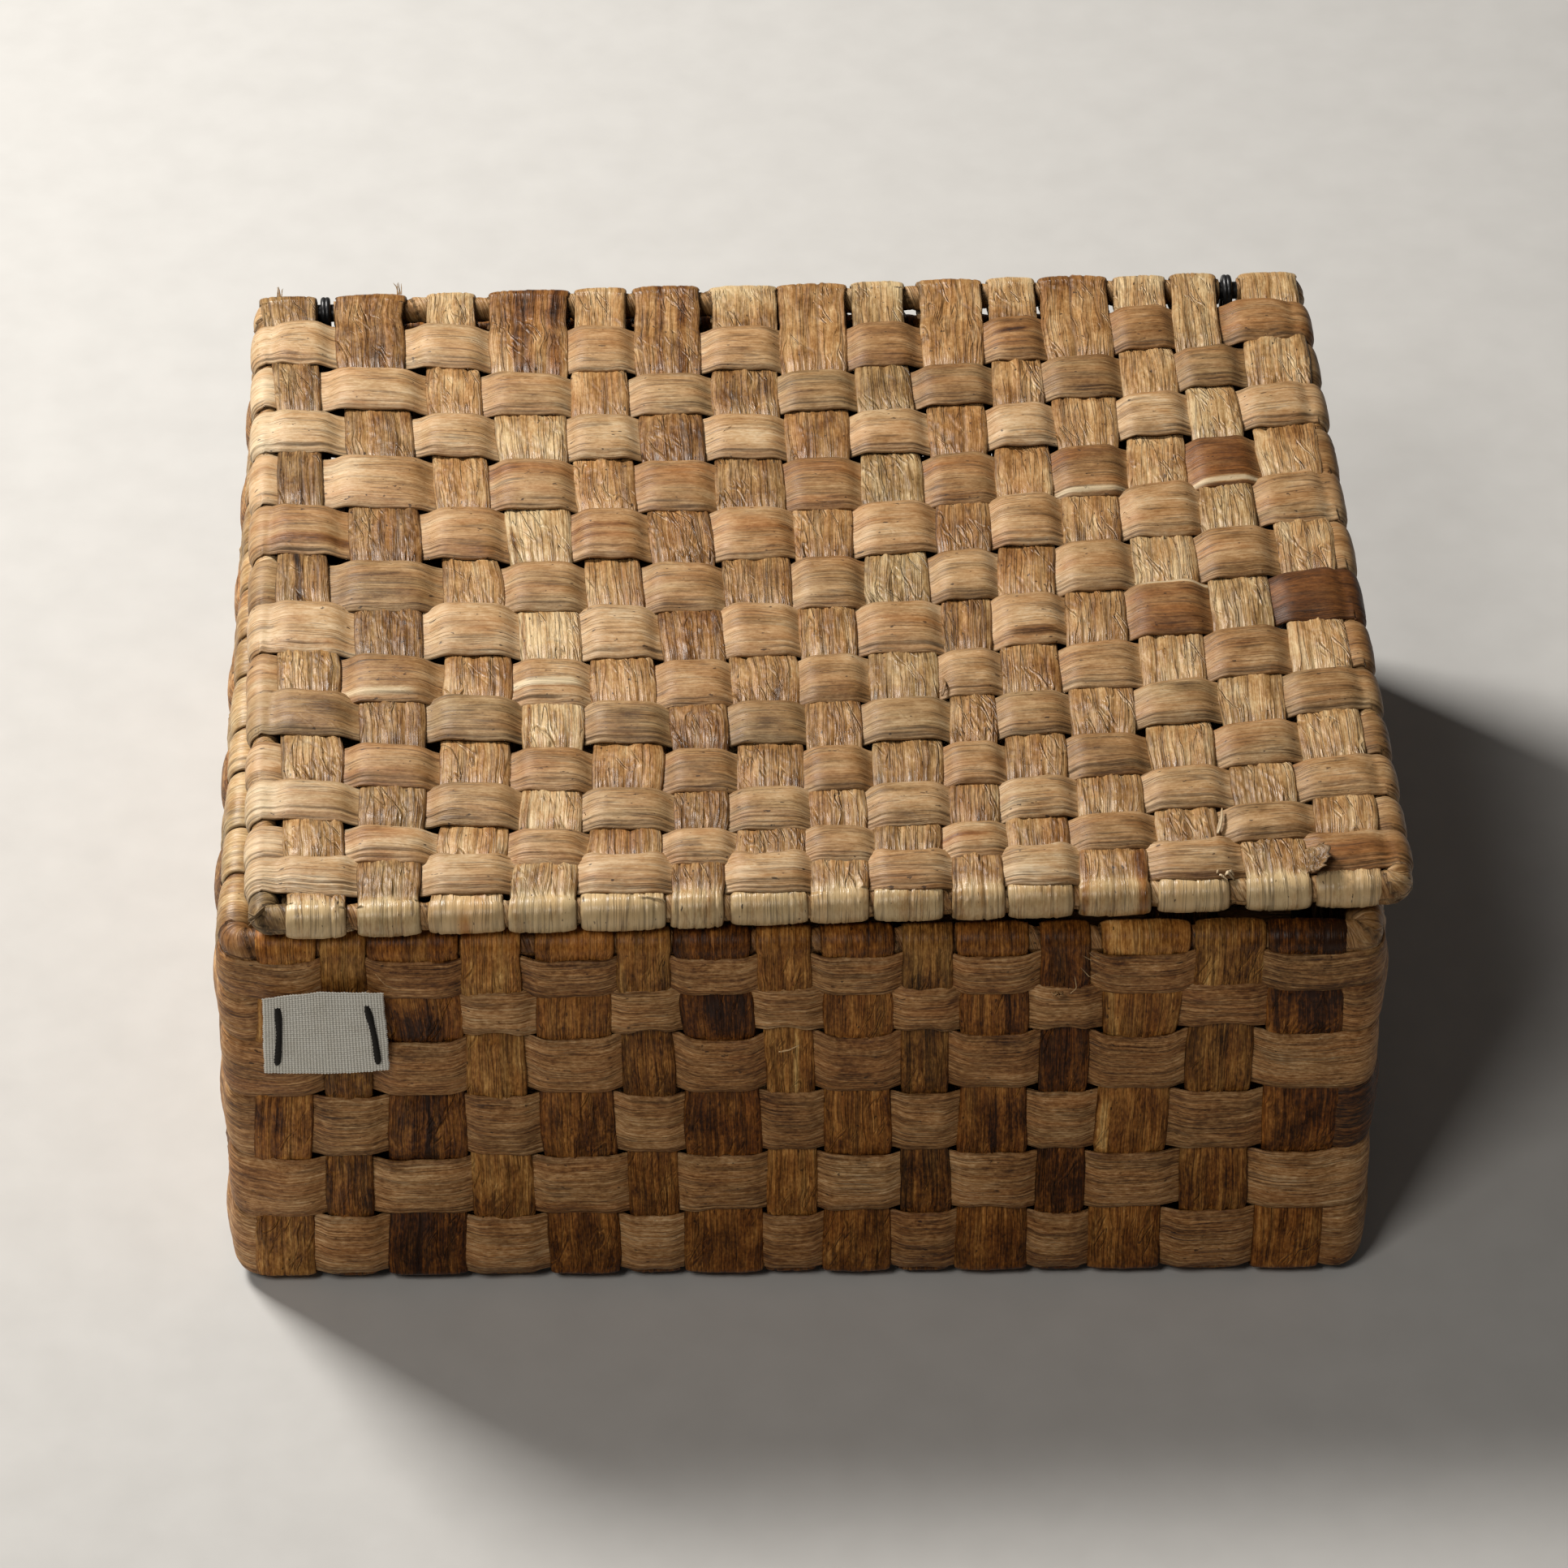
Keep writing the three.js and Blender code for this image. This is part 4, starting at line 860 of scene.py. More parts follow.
# the same for the side-to-side strips, at x = -140, -70, 0, 70 and 140
LID_WEFT_TONES = [
    [(0.80, 0.02, 0.02), (0.78, 0.02, 0.02), (0.76, 0.04, 0.02), (0.72, 0.04, 0.04), (0.66, 0.10, 0.02)],
    [(0.78, 0.04, 0.00), (0.72, 0.06, 0.04), (0.70, 0.10, 0.04), (0.68, 0.08, 0.06), (0.66, 0.02, 0.16)],
    [(0.72, 0.00, 0.20), (0.74, 0.00, 0.20), (0.72, 0.00, 0.18), (0.76, 0.02, 0.10), (0.70, 0.04, 0.04)],
    [(0.64, 0.10, 0.04), (0.64, 0.12, 0.04), (0.60, 0.10, 0.08), (0.60, 0.08, 0.10), (0.56, 0.06, 0.18)],
    [(0.58, 0.02, 0.36), (0.60, 0.02, 0.40), (0.62, 0.02, 0.40), (0.68, 0.04, 0.22), (0.66, 0.02, 0.22)],
    [(0.62, 0.06, 0.06), (0.70, 0.04, 0.02), (0.66, 0.04, 0.02), (0.64, 0.06, 0.06), (0.60, 0.10, 0.04)],
    [(0.80, 0.04, 0.00), (0.80, 0.04, 0.00), (0.76, 0.06, 0.00), (0.68, 0.06, 0.06), (0.62, 0.10, 0.04)],
    [(0.56, 0.04, 0.26), (0.64, 0.04, 0.20), (0.64, 0.06, 0.10), (0.66, 0.06, 0.10), (0.70, 0.08, 0.00)],
    [(0.64, 0.14, 0.02), (0.68, 0.12, 0.02), (0.68, 0.12, 0.02), (0.68, 0.08, 0.02), (0.72, 0.06, 0.00)],
    [(0.74, 0.08, 0.02), (0.60, 0.12, 0.12), (0.60, 0.12, 0.12), (0.58, 0.12, 0.12), (0.58, 0.10, 0.08)],
    [(0.80, 0.00, 0.04), (0.76, 0.02, 0.06), (0.74, 0.02, 0.08), (0.72, 0.06, 0.02), (0.72, 0.06, 0.00)],
    [(0.78, 0.02, 0.06), (0.72, 0.04, 0.08), (0.62, 0.02, 0.30), (0.58, 0.04, 0.28), (0.56, 0.06, 0.22)],
    [(0.76, 0.00, 0.08), (0.74, 0.02, 0.06), (0.66, 0.08, 0.04), (0.54, 0.16, 0.02), (0.54, 0.16, 0.02)],
]
# stains: (from, to, light, red, grey), in mm along the strip; on a cross strip, x is this less 171
LID_WEFT_PATCHES = {
    6: [(258, 282, -0.22, 0.24, 0), (292, 340, -0.37, 0.72, -0.12)],
    9: [(279, 297, -0.19, 0.58, -0.10), (242, 262, -0.10, 0.12, 0)],
    12: [(300, 330, 0.06, 0.10, 0)],
    3: [(228, 262, -0.05, 0.04, 0)],
}
# streaks: (from, to, place across, width, light, red, grey)
LID_WEFT_LINES = {
    5: [(86, 110, -1.6, 1.5, 0.42, -0.1, 0.55), (44, 66, -6.5, 1.2, 0.36, 0, 0.3), (86, 110, -3.6, 0.35, -0.3, 0.2, 0)],
    9: [(279, 298, -9.4, 1.0, 0.85, -0.6, 0.4), (242, 262, -8.9, 0.8, 0.6, -0.2, 0.3), (86, 250, 5.0, 3.0, -0.02, 0.28, -0.15)],
    4: [(119, 125, 0.8, 2.8, -0.24, 0.0, 0.1), (156, 162, -1.8, 2.0, -0.22, 0.0, 0.1), (266, 272, 3.5, 2.2, -0.2, 0.05, 0.1)],
    6: [(262, 290, 9.6, 0.9, 0.7, -0.3, 0.3), (226, 236, -6.5, 1.3, -0.4, 0.1, 0)],
    8: [(28, 60, -5.5, 1.6, -0.2, 0.4, 0), (108, 126, 1.5, 1.0, -0.18, 0.4, 0), (108, 126, -2.5, 1.2, -0.14, 0.35, 0), (150, 170, 0.5, 0.8, -0.12, 0.3, 0)],
    7: [(44, 66, -5.5, 1.8, -0.2, 0.05, 0.1), (48, 64, 2.5, 0.7, -0.25, 0.05, 0.1)],
    12: [(232, 240, 1.5, 1.0, -0.5, 0.2, 0)],
    1: [(200, 212, 0.0, 0.7, -0.3, 0.35, 0)],
    0: [(294, 318, -2.0, 4.5, -0.16, 0.40, 0), (226, 300, -6.4, 0.7, -0.15, 0.2, 0)],
}
LID_WARP_LINES = {
    2: [(4, 24, -0.8, 1.5, -0.34, 0.75, 0), (28, 46, 3.0, 1.2, -0.2, 0.4, 0)],
    3: [(238, 300, -1.5, 2.6, -0.26, 0.30, 0), (232, 300, 6.0, 1.6, -0.28, 0.35, 0), (26, 180, -7.5, 0.5, -0.3, 0.15, 0), (2, 28, -7.0, 1.6, -0.1, 0.4, 0)],
    5: [(236, 310, -2.0, 1.0, -0.2, 0.2, 0), (236, 310, 3.5, 1.1, -0.22, 0.15, 0)],
    4: [(40, 60, 0.0, 4.0, -0.05, 0.2, 0)],
    11: [(8, 40, 7.2, 1.6, -0.3, 0.35, 0), (8, 40, -7.5, 1.0, -0.2, 0.2, 0)],
    0: [(150, 175, -1.0, 0.9, -0.4, 0.05, 0.1), (168, 176, -2.0, 1.4, -0.25, 0.05, 0.1)],
    14: [(2, 22, 2.0, 1.4, 0.12, -0.05, 0.1)],
}


def tones_along(knots, places, where):
    k = np.array(knots, float)
    return [np.interp(where, places, k[:, c]) for c in range(3)]


def build_lid():
    rng = np.random.default_rng(7)
    s0, p0, n0 = folded_flat_path(LID_RY, 12.5)
    arcs = [(s0[k0], s0[k1]) for k0, k1 in arc_spans(s0, n0)]
    # front to back
    for i in range(15):
        seed = 100 + i * 13
        at = sections(s0, 0.75, arcs)
        q, nn = pick(at, s0, p0, n0)
        y = q[:, 0]
        a, b = lid_column(i, y)
        mid = (a + b) / 2
        rows = [float(lid_row_mid(r, sum(lid_column(i, ROWS[r][1])) / 2)) for r in range(13)]
        gaps = [(rows[k] + rows[k + 1]) / 2 for k in range(12)]
        first = rows[0] - 6.6
        edges = [first] + gaps + [rows[-1] + 10.6]
        outer = [(i + 1 + r + 1) % 2 == 1 for r in range(13)]
        over = rng.uniform(0.6, 1.15, 13)
        under = rng.uniform(0.8, 1.1, 13)
        w = Weave(edges, outer, over, under)
        top = (nn[:, 1] > 0.999) & (np.abs(y) < LID_RY)
        H = np.where((nn[:, 1] > 0.5) & (np.abs(y) < LID_RY), w.at(y), 0)
        pin = np.where(top, w.at(y, "pinch"), 0.15)
        half = (b - a) / 2 * (0.97 + 0.04 * np.where(top, w.at(y, "bulge"), 1.0))
        end = np.where(top, 0.0, 1.0)
        H = H + blur(end, 1.0, 2.0)[: len(H)] * 0.35 * rng.uniform(-0.6, 1.0)
        lat = (0.35 * noise(at / 45, 0, seed + 71) + 0.2 * noise(at / 14, 0, seed + 72)) * np.where(top, 1.0, 0.5)
        if i in (1, 3, 12):  # the rear folds of a few strips stand out at a slant
            lat = lat + {1: 1.0, 3: 0.6, 12: 0.8}[i] * step(120, 138, y)
        P = np.stack([mid, y, q[:, 1]], 1)
        N = np.stack([np.zeros(len(at)), nn[:, 0], nn[:, 1]], 1)
        B = np.tile([1.0, 0, 0], (len(at), 1))
        crown = 0.30 + 0.30 * np.where(top, w.at(y, "bulge"), 0.8)
        tone = tones_along(LID_WARP_TONES[i], [-134, -95, -20, 60, 112, 136], y)
        tone[1] = tone[1] + 0.01 + 0.05 * (1 - step(-131, -126, y))
        tone[2] = tone[2] * 0.8 + 0.12 * (1 - step(-131, -126, y))
        # painted highlight: the front folds are made much lighter; the rear folds are a touch lighter too
        tone[0] = 0.53 + (tone[0] - 0.53) * 1.15 + 0.40 * (1 - step(-131, -126, y)) + 0.02 * step(126, 131, y)
        strip("lid_strip_%02d_woven" % (i + 1), at, P, N, B, H, lat, half, crown, "warp", seed, tone, WARP, "lid", ["lid_strip_%02d" % (i + 1)], lid_place, pin, lines=LID_WARP_LINES.get(i, ()))
    # side to side
    s1, p1, n1 = folded_flat_path(LID_RX, 11.0)
    arcs = [(s1[k0], s1[k1]) for k0, k1 in arc_spans(s1, n1)]
    for r in range(13):
        seed = 400 + r * 17
        at = sections(s1, 0.75, arcs)
        q, nn = pick(at, s1, p1, n1)
        x = q[:, 0]
        ymid = float(ROWS[r][1])
        cols = [lid_column(i, ymid) for i in range(15)]
        edges = [cols[0][0] - 1.2] + [(cols[k][1] + cols[k + 1][0]) / 2 for k in range(14)] + [cols[14][1] + 1.2]
        edges[0] = max(edges[0], -143.6)
        edges[-1] = min(edges[-1], 143.8)
        outer = [(c + 1 + r + 1) % 2 == 0 for c in range(15)]
        scale = {0: 0.9, 1: 0.9}.get(r, 1.0)
        over = rng.uniform(2.3, 2.9, 15) * scale
        over[0] *= 0.75
        over[14] *= 0.75
        under = rng.uniform(0.85, 1.15, 15)
        w = Weave(edges, outer, over, under)
        top = (nn[:, 1] > 0.999) & (np.abs(x) < LID_RX)
        H = np.where(nn[:, 1] > 0.5, w.at(x), 0)
        full = ROWS[r][3] / 2
        jitter = 1 + 0.045 * noise(x / 21, 0, seed + 73)
        narrow = 0.93
        half = full * 1.02 * (narrow + (1 - narrow) * np.where(top, w.at(x, "bulge"), 0.6)) * jitter
        lat = 0.5 * noise(at / 50, 0, seed + 71) + 0.3 * noise(at / 17, 0, seed + 72)
        ym = lid_row_mid(r, np.clip(x, -146, 146))
        if r == 0:
            # the first row rides on the front rod's folds, and dives behind the rod where it goes under; its ends gather at the corner
            ym = ym + blur((1 - w.at(x, "shown")) * 2.4 * (1 - step(128, 138, np.abs(x))), 0.75, 3.2)[: len(x)]
            corner = step(132, 147, np.abs(x))
            half = half * (1 - 0.10 * corner)
            ym = ym + 1.3 * corner
        if r == 12:
            corner = step(134, 145, np.abs(x))
            half = half * (1 - 0.15 * corner)
            ym = ym - 1.0 * corner
        P = np.stack([x, ym, q[:, 1]], 1)
        N = np.stack([nn[:, 0], np.zeros(len(at)), nn[:, 1]], 1)
        B = np.tile([0, 1.0, 0], (len(at), 1))
        crown = 0.48 + 1.45 * np.where(top, w.at(x, "bulge"), 0.2)
        pin = np.where(top, w.at(x, "pinch"), 0.3)
        tone = tones_along(LID_WEFT_TONES[r], [-140, -70, 0, 70, 140], x)
        # painted highlight: each cross strip's left end is made lighter
        tone[0] = tone[0] + 0.12 * (1 - step(-145, -138, x))
        strip("lid_cross_strip_%02d_woven" % (r + 1), at, P, N, B, H, lat, half, crown, "weft", seed, tone, WEFT, "lid", ["lid_cross_strip_%02d" % (r + 1)], lid_place, pin, patches=LID_WEFT_PATCHES.get(r, ()), lines=LID_WEFT_LINES.get(r, ()))


def arc_spans(s, n):
    """Index pairs of the stretches where the normal turns."""
    turn = np.linalg.norm(np.gradient(n, axis=0), axis=1) > 0.004
    spans, start = [], None
    for k, v in enumerate(turn):
        if v and start is None:
            start = k
        if not v and start is not None:
            spans.append((start, k))
            start = None
    if start is not None:
        spans.append((start, len(turn) - 1))
    return spans


# ---------------------------------------------------------------- the body
# the front uprights at the rim's fold and at z = 96, 56 and 14
FRONT_TONES = [
    [(0.46, 0.14, 0.02), (0.40, 0.06, 0.06), (0.36, 0.12, 0.06), (0.40, 0.06, 0.10)],
    [(0.42, 0.00, 0.20), (0.34, 0.06, 0.22), (0.30, 0.06, 0.18), (0.28, 0.10, 0.12)],
    [(0.32, 0.14, 0.00), (0.24, 0.18, 0.02), (0.26, 0.16, 0.02), (0.14, 0.30, 0.00)],
    [(0.48, 0.04, 0.10), (0.46, 0.02, 0.18), (0.44, 0.06, 0.12), (0.42, 0.08, 0.08)],
    [(0.42, 0.16, 0.00), (0.40, 0.14, 0.02), (0.36, 0.18, 0.02), (0.30, 0.18, 0.02)],
    [(0.40, 0.02, 0.20), (0.34, 0.04, 0.26), (0.28, 0.10, 0.10), (0.26, 0.12, 0.06)],
    [(0.10, 0.20, 0.00), (0.14, 0.28, 0.00), (0.24, 0.40, 0.00), (0.32, 0.24, 0.00)],
    [(0.46, 0.04, 0.06), (0.42, 0.10, 0.06), (0.42, 0.12, 0.04), (0.36, 0.20, 0.02)],
    [(0.34, 0.18, 0.00), (0.36, 0.18, 0.00), (0.36, 0.16, 0.02), (0.32, 0.18, 0.00)],
    [(0.36, 0.02, 0.30), (0.32, 0.04, 0.34), (0.30, 0.08, 0.20), (0.26, 0.12, 0.08)],
    [(0.34, 0.14, 0.02), (0.30, 0.18, 0.00), (0.30, 0.20, 0.02), (0.28, 0.20, 0.02)],
    [(0.20, 0.24, 0.04), (0.14, 0.34, 0.02), (0.16, 0.34, 0.02), (0.14, 0.34, 0.02)],
    [(0.42, 0.16, 0.00), (0.34, 0.16, 0.04), (0.40, 0.14, 0.02), (0.34, 0.18, 0.00)],
    [(0.36, 0.04, 0.24), (0.34, 0.06, 0.20), (0.36, 0.10, 0.10), (0.30, 0.10, 0.12)],
    [(0.10, 0.30, 0.00), (0.10, 0.28, 0.00), (0.20, 0.36, 0.00), (0.34, 0.30, 0.00)],
]
BAND_TONES = [(0.50, 0.08, 0.08), (0.54, 0.08, 0.06), (0.54, 0.08, 0.06), (0.50, 0.06, 0.14), (0.58, 0.06, 0.04), (0.58, 0.06, 0.04)]
# along a wall strip the middle of the rim's fold is at about 30 mm, and height z is at about 150 - z
UPRIGHT_LINES = {
    2: [(80, 112, 0.3, 0.45, -0.5, 0.0, 0.0), (50, 64, 0.0, 6.0, -0.2, 0.0, 0.0), (124, 146, -2.0, 0.6, -0.3, 0.1, 0.0)],
    6: [(44, 60, 2.0, 5.0, -0.20, 0.0, 0.0), (66, 74, 0, 9.0, 0.10, 0.25, 0.0)],
    14: [(10, 64, 3.0, 4.0, -0.14, 0.0, 0.0), (44, 64, -8.0, 1.0, 0.3, 0.3, 0.0), (84, 100, -8.0, 1.0, 0.25, 0.35, 0.0)],
    12: [(44, 64, -8.0, 1.6, 0.32, -0.05, 0.1), (84, 104, -8.2, 1.6, 0.42, -0.1, 0.15), (14, 34, -7.0, 1.6, 0.25, 0.0, 0.0)],
    10: [(44, 64, 4.0, 1.0, -0.25, 0.0, 0.0), (84, 104, 0.0, 1.2, -0.25, 0.0, 0.0)],
    7: [(60, 84, 2.0, 0.7, 0.4, 0.0, 0.2)],
    0: [(84, 104, -1.0, 1.4, -0.2, 0.1, 0.0)],
    3: [(14, 40, -6.5, 1.2, -0.12, 0.35, 0.0)],
    4: [(14, 34, 5.5, 1.5, 0.14, 0.1, 0.0)],
}
UPRIGHT_CRUMPLES = {4: [(82, 106, 1.3)], 7: [(58, 84, 0.5)], 10: [(84, 104, 0.8)], 12: [(44, 64, 0.5)]}


def build_body():
    rng = np.random.default_rng(11)
    base_z = 1.95
    band_mid = [(a + b) / 2 for a, b in BANDS]
    z_edges = [1.0] + [(band_mid[k] + band_mid[k - 1]) / 2 for k in range(5, 0, -1)] + [114.6]  # from the base up

    def gaps_between(cols):
        return [(cols[k][1] + cols[k + 1][0]) / 2 for k in range(len(cols) - 1)]

    def wall_weave(count):
        # bands 6..1 from the base up; the upright shows where the band goes behind it
        outer = [(count + row) % 2 == 1 for row in (6, 5, 4, 3, 2, 1)]
        return Weave(z_edges, outer, rng.uniform(0.6, 1.1, 6), rng.uniform(0.85, 1.1, 6))

    def upright(name, at, q, nn, near, far, base, edges_of, along_x, seed, tone, slot_nodes, lines, crumples=()):
        u, z = q[:, 0], q[:, 1]
        left, right = edges_of(u, z)
        mid, hw = (left + right) / 2, (right - left) / 2
        wall = np.abs(nn[:, 0]) > 0.9
        floor = nn[:, 1] < -0.9
        outside = wall & (np.sign(nn[:, 0]) == np.sign(u)) & (z < RIM_Z)
        H = np.zeros(len(at))
        pin = np.full(len(at), 0.15)
        bulge = np.full(len(at), 0.8)
        for side, w in ((-1, near), (1, far)):
            k = outside & (np.sign(u) == side)
            H[k] = w.at(z[k])
            pin[k] = w.at(z[k], "pinch")
            bulge[k] = w.at(z[k], "bulge")
        H[floor] = base.at(u[floor])
        H = blur(H, 1.0, 0.9)[: len(H)]
        lat = 0.35 * noise(at / 45, 0, seed + 71) + 0.2 * noise(at / 14, 0, seed + 72)
        half = hw * (0.97 + 0.035 * bulge)
        zero = np.zeros(len(at))
        if along_x:
            P, N, B = np.stack([u, mid, z], 1), np.stack([nn[:, 0], zero, nn[:, 1]], 1), np.tile([0, 1.0, 0], (len(at), 1))
        else:
            P, N, B = np.stack([mid, u, z], 1), np.stack([zero, nn[:, 0], nn[:, 1]], 1), np.tile([1.0, 0, 0], (len(at), 1))
        crown = np.where(floor, 0.1, 0.28 + 0.28 * bulge)
        strip(name, at, P, N, B, H, lat, half, crown, "upright", seed, tone, LIT_SIDE_STALK if along_x else UPRIGHT, "basket_body", slot_nodes, None, pin, lines=lines, crumples=crumples)

    def prepared(half, along):
        s, p, n = wall_path(half, base_z, 17.5)
        arcs = [(s[a], s[b]) for a, b in arc_spans(s, n)]
        under = [(s[k0], s[k1], 2.4) for k0, k1 in [(np.argmax(n[:, 1] < -0.99) + 20, len(s) - np.argmax(n[::-1, 1] < -0.99) - 20)]]
        fine = s[np.argmax(n[:, 1] < -0.99)]
        at = sections(s, 0.85 if along else 1.1, arcs, under)
        return at, *pick(at, s, p, n)

    at, q, nn = prepared(HY, True)
    base_edges = [-132.0] + gaps_between(SIDE) + [132.0]
    for i in range(15):
        seed = 700 + i * 19
        (a, b), (c, d) = FRONT[i], BACK[i]
        if i == 0:
            c, d = -142.5, -131.0
        if i == 14:
            c, d = 130.0, 142.5
        grid, (lo, hi) = smooth_table(FRONT_COLUMNS[i] + [(112, a, b), (125, a, b)], -5, 130, 7)

        def edges_of(u, z):
            t = np.clip((u + 120) / 240, 0, 1)
            t = t * t * (3 - 2 * t)
            front_lo, front_hi = np.interp(z, grid, lo), np.interp(z, grid, hi)
            grow = 0.9 * t
            return front_lo + (c - front_lo) * t - grow, front_hi + (d - front_hi) * t + grow

        base = Weave(base_edges, [(i + k) % 2 == 0 for k in range(13)], 0.62, 0.62, soft=1.6)
        knots = np.array(FRONT_TONES[i])
        tone = [np.where(q[:, 0] < 60, np.interp(q[:, 1], [14, 56, 96, 114], knots[::-1, c2]), 0.36 if c2 == 0 else 0.10) for c2 in range(3)]
        tone = [blur(v, 1.0, 6)[: len(v)] for v in tone]
        upright("wall_strip_%02d_woven" % (i + 1), at, q, nn, wall_weave(i + 1), wall_weave(43 - i), base, edges_of, False, seed, tone, ["front_to_back_strips"], UPRIGHT_LINES.get(i, ()), UPRIGHT_CRUMPLES.get(i, ()))
    at, q, nn = prepared(HX, False)
    for k in range(13):
        seed = 1100 + k * 23
        a, b = SIDE[k]
        y = (a + b) / 2
        f = (y + 136) / 272
        mids = [((FRONT[i][0] + (BACK[i][0] - FRONT[i][0]) * f), (FRONT[i][1] + (BACK[i][1] - FRONT[i][1]) * f)) for i in range(15)]
        base = Weave([-146.0] + gaps_between(mids) + [146.0], [(i + k) % 2 == 1 for i in range(15)], 0.62, 0.62, soft=1.6)
        tone = (0.56 + 0.24 * (float(hashed(np.array(k), np.array(3), 5)) - 0.5) + 0.05 * noise(at / 60, k, 9), 0.02 + 0.26 * float(hashed(np.array(k), np.array(9), 6)) ** 1.6, 0.04 + 0.14 * float(hashed(np.array(k), np.array(4), 8)))
        # painted highlight: the side strips' left rim folds are made lighter, greyer and less red
        lit = (q[:, 0] < -120) & (q[:, 1] > 106)
        tone = (tone[0] + 0.06 * blur(lit.astype(float), 1.0, 4)[: len(q)], tone[1] - 0.08 * lit, tone[2] + 0.20 * lit)
        lean = 1.2 * float(noise(k * 2.7, 1.0, 10))

        def edges_of(u, z):
            shift = lean * (1 - np.clip(z / RIM_Z, 0, 1)) * np.sign(u)
            return np.full(len(u), a - 0.7) + shift, np.full(len(u), b + 0.7) + shift

        # near is the left wall (count 56-k), far the right wall (count 16+k)
        upright("side_strip_%02d_woven" % (k + 1), at, q, nn, wall_weave(56 - k), wall_weave(16 + k), base, edges_of, True, seed, tone, ["side_to_side_strips"], ())


